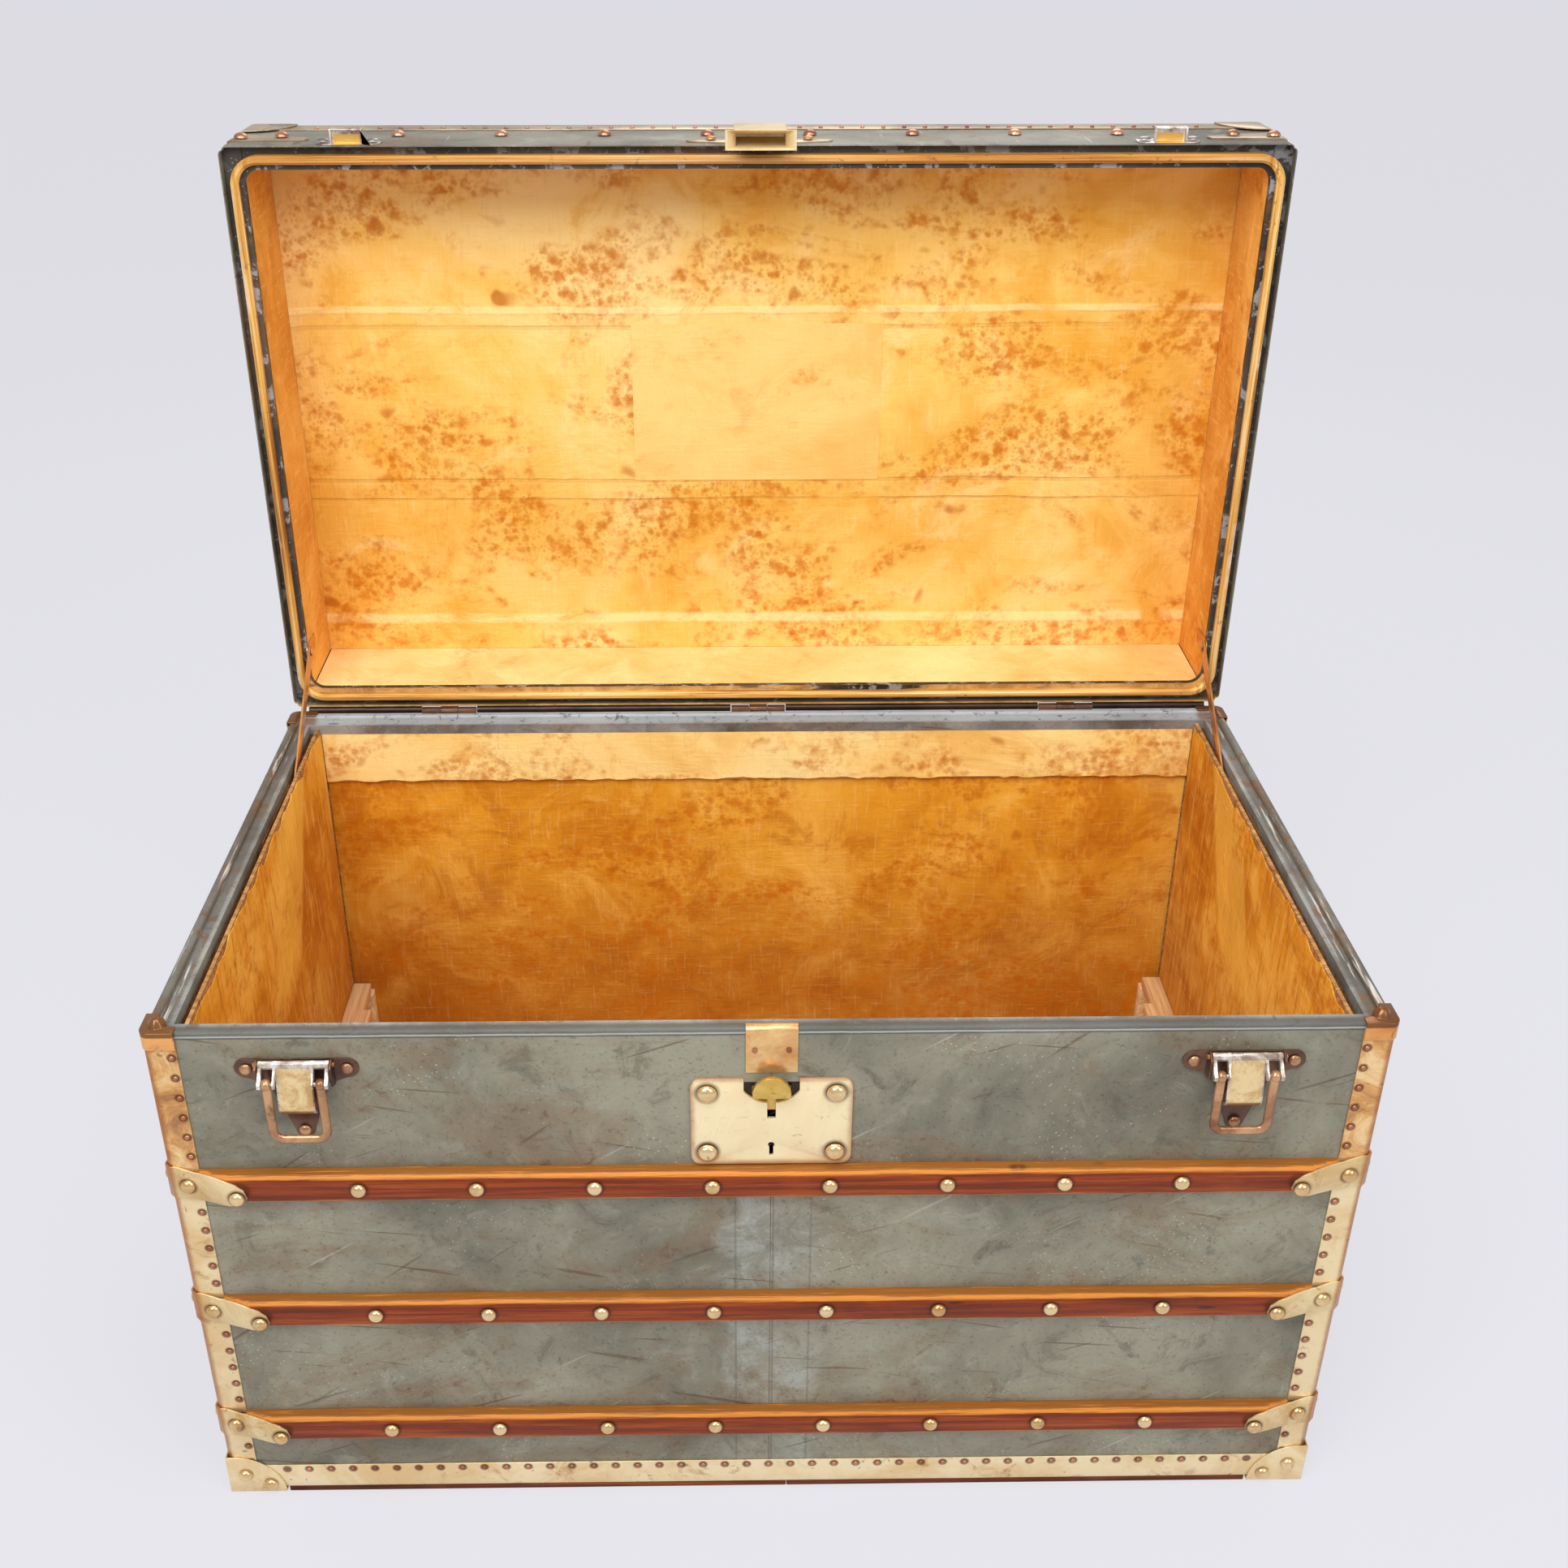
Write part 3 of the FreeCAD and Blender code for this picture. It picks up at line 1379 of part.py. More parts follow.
hinge_y = side_y + size.hinge_offset
hinge_z = rim_top
lid_rim = hinge_y + size.closing_gap
lid_back = hinge_z + size.hinge_offset
lid_top = lid_rim + size.lid_height
lid_front = lid_back + size.trunk_depth
lid_middle = lid_back + side_y


def depth(length):
    """A place inside the lid, from its rim plane."""
    return lid_rim + length


def up(length):
    """A place up the open lid, from the outside of its rear wall."""
    return lid_back + length


lid_outer, lid_outer_bends = rounded((-side_x, side_x), (lid_back, lid_front), size.corner_round)
lid_inner, lid_inner_bends = rounded(
    (-wood_x, wood_x), (up(size.zinc_sheet), lid_front - size.zinc_sheet), wood_round
)
node(cut(
    "lid_zinc",
    pad("lid_zinc_blank", "XZ", lid_rim, lid_top, lid_outer, lid_outer_bends),
    pad("lid_zinc_core", "XZ", lid_rim - size.zinc_sheet, lid_top - size.zinc_sheet,
        lid_inner, lid_inner_bends),
))

board_start = depth(size.lip_seat)
board_end = lid_top - size.zinc_sheet
top_board_start = board_end - size.lid_top_board
lid_wood_x = wood_x - size.lid_side_board
lid_wood_low = up(size.zinc_sheet + size.lid_side_board)
lid_wood_high = lid_front - size.zinc_sheet - size.lid_side_board
node(pad("lid_top_board", "XZ", top_board_start, board_end, lid_inner, lid_inner_bends))
lid_frame = pad(
    "lid_frame", "XZ", board_start, top_board_start, lid_inner, lid_inner_bends,
    square((-lid_wood_x, lid_wood_x), (lid_wood_low, lid_wood_high)),
)
joints = [
    box(f"lid_board_joint_{number}",
        (lid_wood_x, lid_wood_x + size.seam_gap) if across > 0
        else (-lid_wood_x - size.seam_gap, -lid_wood_x),
        (board_start - size.zinc_sheet, board_end),
        (lid_wood_high, lid_front) if along > 0 else (lid_back, lid_wood_low))
    for number, (across, along) in enumerate(MIRRORS)
]
node(cut("lid_side_boards", lid_frame, *joints))

# Brass lip and zinc strip inside the lid's rim

lip_x = side_x - size.lip_inset
lip_low = up(size.lip_inset)
lip_high = lid_front - size.lip_inset
inner_curve = size.lip_corner - size.lip_width
lip_outer, lip_outer_bends = rounded((-lip_x, lip_x), (lip_low, lip_high), size.lip_corner)
lip_in_x = lip_x - size.lip_width
lip_in_low = lip_low + size.lip_width
lip_in_high = lip_high - size.lip_width
lip_inner, lip_inner_bends = rounded((-lip_in_x, lip_in_x), (lip_in_low, lip_in_high), inner_curve)
lip = pad("lid_lip", "XZ", depth(-size.lip_reach), board_start, lip_outer, lip_outer_bends,
          lip_inner, lip_inner_bends)


def lip_edge(points):
    return all(abs(point.y) < float(size.seam_gap) / 10 for point in points)


node(soften(lip, size.lip_round, lip_edge, "Chamfer"))
strip_x = lip_in_x - size.inner_strip_width
strip_curve = inner_curve - size.inner_strip_width
strip_inner, strip_inner_bends = rounded(
    (-strip_x, strip_x),
    (lip_in_low + size.inner_strip_width, lip_in_high - size.inner_strip_width), strip_curve,
)
node(pad("lid_inner_strip", "XZ", depth(size.inner_strip_recess), board_start,
         lip_inner, lip_inner_bends, strip_inner, strip_inner_bends))

# Canvas in the lid, and the paper on it

canvas_top = top_board_start - size.canvas
lid_canvas_x = lid_wood_x - size.canvas
node(fuse(
    "lid_lining",
    box("lid_top_canvas", (-lid_wood_x, lid_wood_x), (canvas_top, top_board_start),
        (lid_wood_low, lid_wood_high)),
    box("lid_left_canvas", (-lid_wood_x, -lid_canvas_x), (board_start, canvas_top),
        (lid_wood_low, lid_wood_high)),
    box("lid_right_canvas", (lid_canvas_x, lid_wood_x), (board_start, canvas_top),
        (lid_wood_low, lid_wood_high)),
    box("lid_rear_canvas", (-lid_canvas_x, lid_canvas_x), (board_start, canvas_top),
        (lid_wood_low, lid_wood_low + size.canvas)),
    box("lid_front_canvas", (-lid_canvas_x, lid_canvas_x), (board_start, canvas_top),
        (lid_wood_high - size.canvas, lid_wood_high)),
))
node(box("paper_label", (-size.label_width / 2, size.label_width / 2),
         (canvas_top - size.label_sheet, canvas_top),
         (up(size.label_rise), up(size.label_rise + size.label_height))))

# Brass on the lid: edge strips, corner caps, slats on the top with their clamps, side clamps

node(edging(
    "lid_edge_strips", "XZ", lid_middle,
    (lid_top - size.edge_strip_height + thin, lid_top + thin), (lid_top, lid_top + thin),
))

ABOUT_X = Vector(1, 0, 0)


def lid_corner(shape, across, along):
    """Carries a corner piece, its floor outwards, to a corner of the lid's top."""
    made = shape.copy()
    if across < 0:
        made = made.mirror(Vector(), Vector(1, 0, 0))
    # floor (-z) turns to face +y; front (-y) turns to face -z, and is mirrored for the upper corners
    made = turned(made, Rotation(ABOUT_X, 90), Vector())
    if along > 0:
        made = made.mirror(Vector(), Vector(0, 0, 1))
    made.translate(at(side_x * across, lid_top, lid_middle + side_y * along))
    return made


def lid_cap(across, along):
    made = corner_cap.Shape.copy()
    made.translate(at(thin, -thin, -thin))
    return lid_corner(made, across, along)


node(copies("lid_corner_caps", [lid_cap(*signs) for signs in MIRRORS]))

lid_slat_places = [up(size.lid_slat_start + size.lid_slat_pitch * number) for number in range(4)]
node(copies("lid_slats", [
    turned(long_slat.Shape, Rotation(ABOUT_Z, 180), at(ZERO, lid_top, height))
    for height in lid_slat_places
]))


def strap_unit():
    """A strap from a top slat's end over the lid's edge, its leaf on the slat."""
    landing, flat = size.angle_width, size.clamp_landing
    t, reach = size.clamp_sheet, size.clamp_reach
    inside = [(reach, slat_face), (landing + size.slat_ramp, slat_face), (landing, size.slat_end),
              (flat, thin)]
    drop = size.edge_strip_height + size.angle_width / 2
    corners = (
        [(-u, -(p + t)) for u, p in inside]
        + [(thin, -(thin + t)), (thin + t, -thin), (thin + t, drop), (thin, drop), (thin, -thin)]
        + [(-u, -p) for u, p in reversed(inside)]
    )
    wrap_body = pad("lid_strap_wrap", "XY", -size.clamp_below, size.clamp_below, corners)
    tip = size.clamp_below
    face = pad(
        "lid_strap_leaf", "XZ", -reach, reach * 2,
        [(reach, -tip), (reach, tip), (tip - reach, tip), (tip * 0.29 - reach, tip * 0.71),
         (-reach, ZERO), (tip * 0.29 - reach, tip * -0.71), (tip - reach, -tip)],
    )
    return common("lid_strap", wrap_body, face)


lid_strap = strap_unit()
lid_clamp = clamp_unit("lid_side_clamp", ZERO, size.lid_clamp_reach, size.angle_width, ZERO)
doc.recompute()


def lid_strap_at(across, height):
    made = lid_strap.Shape.copy()
    made = made.mirror(Vector(), Vector(0, 1, 0))
    if across < 0:
        made = made.mirror(Vector(), Vector(1, 0, 0))
    made.translate(at(side_x * across, lid_top, height))
    return made


def lid_clamp_at(across, along):
    made = turned(lid_clamp.Shape, Rotation(ABOUT_X, -90), Vector())
    if across < 0:
        made = made.mirror(Vector(), Vector(1, 0, 0))
    if along < 0:
        made = made.mirror(Vector(), Vector(0, 0, 1))
    made.translate(at(side_x * across, depth(size.lid_clamp_depth), lid_middle + side_y * along))
    return made


node(copies("lid_clamps", [
    lid_strap_at(across, height) for across in (1, -1) for height in lid_slat_places
] + [lid_clamp_at(*signs) for signs in MIRRORS]))

lid_places = [
    (at(x, lid_top + slat_face, height), "rear")
    for height in lid_slat_places for x in rivet_line(size.trunk_length)
]
lid_places += [
    (at(x, depth(size.lid_rivet_depth), lid_front), "up") for x in rivet_line(size.trunk_length)
]
lid_places += [
    (at((side_x - tip_place) * across, lid_top + clamp_face, height), "rear")
    for across in (1, -1) for height in lid_slat_places
]

# Catches on the lid's front wall, over which the latch rings hook

def lid_catch(side, middle):
    front = lid_front
    half, hood = size.catch_plate_width / 2, size.hood_width / 2
    round_end = size.catch_plate_reach / 4
    low, high = depth(size.closing_gap), depth(size.catch_plate_reach)
    plate_corners, _ = rounded((middle - half, middle + half), (low, high), round_end)
    plate = pad(f"{side}_catch_plate", "XY", front, front + size.latch_sheet, plate_corners)
    t = size.hood_sheet
    outer = front + size.hood_stand
    edge = depth(size.hood_top)
    shell = box(f"{side}_hood_blank", (middle - hood, middle + hood), (low, edge),
                (front + size.latch_sheet, outer))
    hollow = box(f"{side}_hood_hollow", (middle - hood + t, middle + hood - t),
                 (low - t, edge - t), (front, outer - t))
    lip_piece = box(f"{side}_hood_lip", (middle - hood, middle + hood), (edge - t, edge + size.hood_lip),
                    (outer - t, outer))
    return fuse(f"{side}_lid_catch", plate, cut(f"{side}_hood", shell, hollow), lip_piece)


node(group("lid_catches", lid_catch("left", -latch_half), lid_catch("right", latch_half)))

# Hasp: plate with two ears, pin, and a swinging socket that drops over the lock catch

hasp_y = depth(size.hasp_axis_reach)
hasp_z = lid_front + size.hasp_axis_stand
ear_tip = size.hasp_ear_width / 2
hasp_half = size.hasp_width / 2
knuckle = size.hasp_knuckle
plate_low, plate_high = depth(size.hasp_plate_low), depth(size.hasp_plate_high)
plate_mid = (plate_low + plate_high) / 2
ear_round = size.hasp_plate_sheet * 4
hasp_plate_piece = pad(
    "hasp_plate_sheet_piece", "XY", lid_front, lid_front + size.hasp_plate_sheet,
    [(-hasp_half, plate_low), (hasp_half, plate_low), (ear_tip - ear_round, plate_mid - ear_round),
     (ear_tip - ear_round, plate_mid + ear_round), (hasp_half, plate_high), (-hasp_half, plate_high),
     (ear_round - ear_tip, plate_mid + ear_round), (ear_round - ear_tip, plate_mid - ear_round)],
    {2: ("x", ear_tip - ear_round, 1), 6: ("x", ear_round - ear_tip, 1)},
)
third = size.hasp_width / 3


def knuckle_piece(label, low, high):
    """A rolled knuckle with its foot on the plate."""
    barrel = bar(f"{label}_barrel", knuckle, (low, high), hasp_y, hasp_z)
    foot = box(f"{label}_foot", (low, high), (hasp_y, hasp_y + knuckle), (lid_front, hasp_z))
    return [barrel, foot]


hasp_bore = bore("hasp_bore", size.hasp_pin + size.running_gap, (-hasp_half * 2, hasp_half * 2),
                 hasp_y, hasp_z)
side_knuckles = (
    knuckle_piece("left_hasp_knuckle", -hasp_half, -third / 2 - size.slide_gap)
    + knuckle_piece("right_hasp_knuckle", third / 2 + size.slide_gap, hasp_half)
)
node(cut("hasp_plate", fuse("hasp_plate_blank", hasp_plate_piece, *side_knuckles), hasp_bore))
node(bar("hasp_pin", size.hasp_pin, (-hasp_half, hasp_half), hasp_y, hasp_z, sides=8))

back_z = lid_front + size.hasp_back
front_z = lid_front + size.hasp_front
mouth = depth(-size.hasp_overhang)
wall = size.hasp_wall
box_end = hasp_y - knuckle - size.slide_gap * 2
socket = box("hasp_socket_blank", (-hasp_half, hasp_half), (mouth, box_end), (back_z, front_z))
arm = fuse(
    "hasp_arm",
    bar("hasp_arm_barrel", knuckle, (-third / 2, third / 2), hasp_y, hasp_z),
    box("hasp_arm_plate", (-third / 2, third / 2), (box_end - wall, hasp_y),
        (hasp_z + knuckle - size.hasp_wall * 2, hasp_z + knuckle)),
)
flare_half = size.hasp_flare_width / 2
flare_end = mouth + size.hasp_flare_length
flare_front = lid_front + size.hasp_flare_stand


def hasp_frame(y, half, low, high):
    """A ring of points across the socket."""
    return [at(-half, y, low), at(half, y, low), at(half, y, high), at(-half, y, high)]


def flare_solid():
    """The mouth of the socket widens towards its end."""
    doc.recompute()
    return faceted("hasp_flare", [
        hasp_frame(mouth, flare_half, back_z, flare_front),
        hasp_frame(flare_end, hasp_half, back_z, front_z),
    ])


tunnel = box("hasp_tunnel", (wall - hasp_half, hasp_half - wall), (mouth - wall, box_end - wall * 2),
             (back_z + wall * 2, front_z - wall))
funnel = faceted("hasp_funnel", [
    hasp_frame(mouth - wall, flare_half - wall, back_z + wall, flare_front),
    hasp_frame(flare_end, hasp_half - wall, back_z + wall * 2, front_z - wall),
])
node(cut("hasp", fuse("hasp_blank", socket, arm, flare_solid()), hasp_bore, tunnel, funnel))

hasp_head = dome("hasp_rivet_head", size.latch_rivet_radius + size.latch_sheet, size.rivet_rise)
catch_places = [
    (at(middle + (size.catch_plate_width / 2 - size.latch_rivet_radius - size.latch_sheet) * sign,
        depth(size.catch_plate_reach / 2), lid_front + size.latch_sheet), "up")
    for middle in (-latch_half, latch_half) for sign in (1, -1)
]
node(copies(
    "lid_rivets",
    heads(slat_head, lid_places) + heads(hasp_head, [
        (at(size.hasp_ear_spacing / 2 * sign, plate_mid, lid_front + size.hasp_plate_sheet), "up")
        for sign in (1, -1)
    ]) + heads(latch_head, catch_places),
))

# Hinges: three pairs of leaves with knuckles on the hinge line

leaf_half = size.hinge_leaf_width / 2
knuckle_radius = size.hinge_offset
hinge_places = [(side_x - size.hinge_inset) * number for number in (-1, 0, 1)]
third_leaf = size.hinge_leaf_width / 3


def hinge_leaves(label, on_lid):
    """Leaves of one side; the lid has the middle one of three knuckles."""
    pieces = []
    for number, middle in enumerate(hinge_places, 1):
        x = (middle - leaf_half, middle + leaf_half)
        clear = size.knuckle_gap
        if on_lid:
            flat = box(f"{label}_flat_{number}", x,
                       (hinge_y + knuckle_radius + clear, depth(size.hinge_leaf_reach)),
                       (lid_back - size.hinge_leaf, lid_back))
            numbers = (1,)
        else:
            flat = box(f"{label}_flat_{number}", x, (side_y, side_y + size.hinge_leaf),
                       (rim_top - size.hinge_leaf_reach, hinge_z - knuckle_radius - clear))
            numbers = (0, 2)
        parts = [flat]
        for place in numbers:
            low = middle - leaf_half + third_leaf * place + (clear / 2 if place else ZERO)
            high = middle - leaf_half + third_leaf * (place + 1) - (clear / 2 if place < 2 else ZERO)
            parts.append(bar(f"{label}_knuckle_{number}_{place}", knuckle_radius, (low, high),
                             hinge_y, hinge_z))
            if on_lid:
                parts.append(box(f"{label}_web_{number}_{place}", (low, high),
                                 (hinge_y, depth(size.hinge_leaf_reach)),
                                 (lid_back - size.hinge_leaf, lid_back)))
            else:
                parts.append(box(f"{label}_web_{number}_{place}", (low, high),
                                 (side_y, side_y + size.hinge_leaf),
                                 (rim_top - size.hinge_leaf_reach, hinge_z)))
        leaf_bore = bore(f"{label}_bore_{number}", size.hinge_pin + size.running_gap,
                         (middle - leaf_half * 2, middle + leaf_half * 2), hinge_y, hinge_z)
        pieces.append(cut(f"{label}_{number}", fuse(f"{label}_blank_{number}", *parts), leaf_bore))
    return group(label, *pieces)


node(hinge_leaves("body_hinge_leaves", False))
node(hinge_leaves("lid_hinge_leaves", True))
node(group("hinge_pins", *[
    bar(f"hinge_pin_{number}", size.hinge_pin, (middle - leaf_half, middle + leaf_half),
        hinge_y, hinge_z, sides=8)
    for number, middle in enumerate(hinge_places, 1)
]))

# Stays: flat bars pivoted on the lid whose studs run in slotted guides in the pockets

pivot_y = depth(size.stay_recess)
pivot_z = up(size.stay_reach)
plate_face = lid_canvas_x - size.canvas
stay_outer = plate_face - size.slide_gap
stay_inner = stay_outer - size.stay_sheet
STAY_ANGLES = {"open": 35.15, "shut": 15}
open_slope = math.radians(STAY_ANGLES["open"])
shut_slope = math.radians(STAY_ANGLES["shut"])


def stud_place(share):
    """Where the stud is when the lid has closed by a share of its travel."""
    swing = math.radians(90) * share
    slope = open_slope + (shut_slope - open_slope) * share
    arm_y = float(pivot_y - hinge_y)
    arm_z = float(pivot_z - hinge_z)
    y = float(hinge_y) + arm_y * math.cos(swing) - arm_z * math.sin(swing)
    z = float(hinge_z) + arm_y * math.sin(swing) + arm_z * math.cos(swing)
    length = float(size.stay_length)
    return Vector(0, y - length * math.cos(slope), z - length * math.sin(slope))


def stay(side, sign):
    """One stay bar, modelled in the plane of its pocket."""
    low = stay_inner if sign > 0 else -stay_outer
    half = size.stay_width / 2
    start = at(low, pivot_y, pivot_z)
    end = stud_place(0) + Vector(float(low), 0, 0)
    along = (end - start).normalize()
    square_to = Vector(0, -along.z, along.y) * float(half)
    edges = [
        Part.LineSegment(start + square_to, end + square_to).toShape(),
        Part.Arc(end + square_to, end + along * float(half), end - square_to).toShape(),
        Part.LineSegment(end - square_to, start - square_to).toShape(),
        Part.Arc(start - square_to, start - along * float(half), start + square_to).toShape(),
    ]
    strip = Part.Face(Part.Wire(edges)).extrude(Vector(float(size.stay_sheet), 0, 0))
    hole = bore(f"{side}_stay_hole", size.stay_pivot_radius + size.running_gap * 2,
                (low - size.stay_sheet, low + size.stay_sheet * 2), pivot_y, pivot_z)
    doc.recompute()
    strip = strip.cut(hole.Shape)
    stud_reach = stay_outer + size.slide_gap + size.zinc_sheet + size.guide_sheet
    if sign > 0:
        stud_start = end + Vector(float(size.stay_sheet) / 2, 0, 0)
    else:
        stud_start = at(-stud_reach, ZERO, ZERO) + Vector(0, end.y, end.z)
    angles = [math.radians(45 * number) for number in range(9)]
    radius = float(size.stay_stud)
    stud = Part.Face(Part.makePolygon([
        stud_start + Vector(0, radius * math.cos(angle), radius * math.sin(angle)) for angle in angles
    ])).extrude(Vector(float(stud_reach - stay_outer + size.stay_sheet / 2), 0, 0))
    made = doc.addObject("Part::Feature", f"{side}_stay")
    made.Shape = strip.fuse(stud).removeSplitter()
    return made


doc.recompute()
node(stay("left", -1))
node(stay("right", 1))


def guide(side, sign):
    """Brass plate on the rim batten with the slot that the stud follows."""
    outer = skirt_x
    low = outer - size.guide_sheet if sign > 0 else -outer
    slot_half = float(size.stay_stud + size.slide_gap)
    steps = 8
    track = [stud_place(number / steps) for number in range(steps + 1)]
    normals = []
    for number, point in enumerate(track):
        before = track[max(number - 1, 0)]
        after = track[min(number + 1, steps)]
        way = (after - before).normalize()
        normals.append(Vector(0, -way.z, way.y) * slot_half)
    shift = Vector(float(low) - float(size.guide_sheet), 0, 0)
    upper = [point + normal + shift for point, normal in zip(track, normals)]
    lower = [point - normal + shift for point, normal in zip(track, normals)]

    first_way = (track[0] - track[1]).normalize() * slot_half
    last_way = (track[-1] - track[-2]).normalize() * slot_half
    wire = Part.makePolygon(
        [lower[0] + first_way] + lower + [lower[-1] + last_way, upper[-1] + last_way]
        + upper[::-1] + [upper[0] + first_way, lower[0] + first_way]
    )
    slot = Part.Face(wire).extrude(Vector(float(size.guide_sheet) * 3, 0, 0))
    margin = float(size.guide_margin) + slot_half
    ys = [point.y for point in track]
    zs = [point.z for point in track]
    plate = Part.makeBox(
        float(size.guide_sheet), max(ys) - min(ys) + 2 * margin, max(zs) - min(zs) + 2 * margin,
        Vector(float(low), min(ys) - margin, min(zs) - margin),
    )
    made = doc.addObject("Part::Feature", f"{side}_stay_guide")
    made.Shape = plate.cut(slot)
    return made


node(group("stay_guides", guide("left", -1), guide("right", 1)))


def stay_pivot(side, sign):
    """Plate on the lid's lining with the headed pin that carries a stay."""
    t = size.canvas
    half = size.stay_width / 2 + t
    plate_x = (plate_face, lid_canvas_x) if sign > 0 else (-lid_canvas_x, -plate_face)
    plate = pad(
        f"{side}_pivot_plate", "YZ", *plate_x,
        [(pivot_y, pivot_z + half), (pivot_y, pivot_z - half), (pivot_y + half * 4, pivot_z - half),
         (pivot_y + half * 4, pivot_z + half)],
        {0: ("x", pivot_y, 1)},
    )
    inner_face = stay_inner - size.slide_gap
    head = inner_face - t
    pin_x = (head, plate_face) if sign > 0 else (-plate_face, -head)
    head_x = (head, inner_face) if sign > 0 else (-inner_face, -head)
    return fuse(
        f"{side}_stay_pivot", plate,
        bar(f"{side}_pivot_pin", size.stay_pivot_radius, pin_x, pivot_y, pivot_z, sides=8),
        bar(f"{side}_pivot_head", size.stay_head_radius, head_x, pivot_y, pivot_z),
    )


node(group("stay_pivots", stay_pivot("left", -1), stay_pivot("right", 1)))

# Check everything, then write each sub-part

doc.recompute()
for thing in doc.Objects:
    if {"Invalid", "Error"} & set(thing.State):
        raise SystemExit(f"{thing.Label} failed: {thing.State}")
os.makedirs("parts", exist_ok=True)
for thing in NODES:
    shape = thing.Shape
    if shape.isNull() or not shape.isValid() or not shape.Solids:
        raise SystemExit(f"{thing.Label} is not a valid solid")
    shape.exportStep(os.path.join("parts", f"{thing.Label}.step"))
    print(thing.Label, len(shape.Solids), round(shape.Volume))
print(len(NODES), "nodes")
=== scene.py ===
# %% [markdown]
# # A zinc-covered travelling trunk
# The case was made by several trades: a joiner made the box, a tinsmith dressed it in zinc, and a
# trunk maker nailed on the brass and the slats and pasted canvas inside. This lesson follows that
# order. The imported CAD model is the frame: its nodes stay where they are, and each new piece lies
# where the CAD piece lay. Lengths are metres, the front faces -Y, and Z is up.

# %% Load the frame
import math
import random
import json
from contextlib import contextmanager

import bpy
import bmesh
from mathutils import Matrix, Vector, noise

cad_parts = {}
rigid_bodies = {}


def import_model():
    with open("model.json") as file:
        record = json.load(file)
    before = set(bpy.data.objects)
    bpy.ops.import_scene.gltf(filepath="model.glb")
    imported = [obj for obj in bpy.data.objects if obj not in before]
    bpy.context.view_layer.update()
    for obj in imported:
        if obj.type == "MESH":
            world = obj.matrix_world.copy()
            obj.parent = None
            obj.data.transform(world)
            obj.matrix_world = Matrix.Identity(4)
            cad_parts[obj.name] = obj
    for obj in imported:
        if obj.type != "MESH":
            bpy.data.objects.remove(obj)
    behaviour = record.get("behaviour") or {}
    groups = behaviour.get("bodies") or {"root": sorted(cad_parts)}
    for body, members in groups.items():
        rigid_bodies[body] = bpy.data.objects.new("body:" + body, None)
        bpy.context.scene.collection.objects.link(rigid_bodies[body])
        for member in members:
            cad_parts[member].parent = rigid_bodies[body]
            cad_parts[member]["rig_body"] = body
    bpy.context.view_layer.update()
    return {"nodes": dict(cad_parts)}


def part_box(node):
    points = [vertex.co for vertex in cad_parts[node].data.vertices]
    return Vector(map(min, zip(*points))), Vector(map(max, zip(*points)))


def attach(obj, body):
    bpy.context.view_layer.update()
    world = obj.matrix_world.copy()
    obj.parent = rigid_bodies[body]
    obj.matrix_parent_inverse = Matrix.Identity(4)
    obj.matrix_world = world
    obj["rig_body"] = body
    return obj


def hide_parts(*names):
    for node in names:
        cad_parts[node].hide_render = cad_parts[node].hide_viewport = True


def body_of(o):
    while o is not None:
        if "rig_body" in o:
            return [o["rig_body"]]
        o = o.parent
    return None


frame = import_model()
nodes = frame["nodes"]
random.seed(12)
print("loaded", len(nodes), "nodes")

MM = 0.001
SIDE_X, SIDE_Y = 0.450, 0.258          # outer faces of the zinc walls
RIM, FLOOR = 0.476, 0.021              # top of the body, foot of the wall linings
LID_LOW, LID_HIGH = 0.480, 0.996       # rear and front walls of the open lid, along Z
LID_TOP = 0.3686                       # outer face of its top, along Y
LID_ROUND = 0.008                      # how far its corners are rounded
LATCH_X = 0.343                        # middles of the two latches
SLAT_HEIGHTS = (0.3385, 0.211, 0.0835)
SLAT_PITCH = 0.1275
LID_SLAT_HEIGHTS = (0.545, 0.6735, 0.802, 0.9305)
LID_SLAT_PITCH = 0.1285
RIVET_PITCH = 0.088
RIVET_PLACES = [RIVET_PITCH * (number - 3.5) for number in range(8)]
CLAMP_TIP_X, CLAMP_TIP_DROP = 0.3985, 0.006      # the rivet near the tip of a slat clamp
CLAMP_ROOT_X, CLAMP_ROOT_DROP = 0.4365, 0.001    # the rivet near its root
LOCK_RIVET_X, LOCK_RIVET_HEIGHTS = 0.0475, (0.365, 0.420)
NAIL_X, NAIL_Y = 0.431, 0.239          # nail rows on the corner angles
NAIL_PITCH, NAIL_TOP = 0.0182, 0.455
STRIP_PITCH, STRIP_Z = 0.0183, 0.0262  # nail row on the base strips



def linked(name, data):
    made = bpy.data.objects.new(name, data)
    bpy.context.collection.objects.link(made)
    return made


# %% [markdown]
# ## The camera
# A long lens on a tall stand, tipped down by about 29 degrees. The picture is a crop of a larger
# frame, so its centre isn't quite where the lens points, and a small shift takes care of that.

# %% Camera
camera_data = bpy.data.cameras.new("camera")
camera = linked("camera", camera_data)
camera.location = (-0.03215, -1.27512, 1.22786)
camera.rotation_euler = (math.radians(90 - 29.088), 0, math.radians(-0.808))
camera_data.lens = 40.262
camera_data.sensor_width = 36
camera_data.shift_x = 0.02343
camera_data.shift_y = 0.01105
bpy.context.scene.camera = camera
bpy.context.scene.view_settings.view_transform = "Standard"

# %% [markdown]
# ## Ways to write a finish
# A finish is a small graph of nodes, and the two classes below keep each graph short enough to
# read. A pattern is a number over the surface, and sums with patterns are written as plain sums.
# Washes of colour are laid on through patterns, as a restorer would build up a patina. Colours are
# (red, green, blue) from 0 to 255, as on a screen. Everything reads Object coordinates, which are
# metres here, so a scale of 100 means a feature of about a centimetre.

# %% A small toolbox for finishes


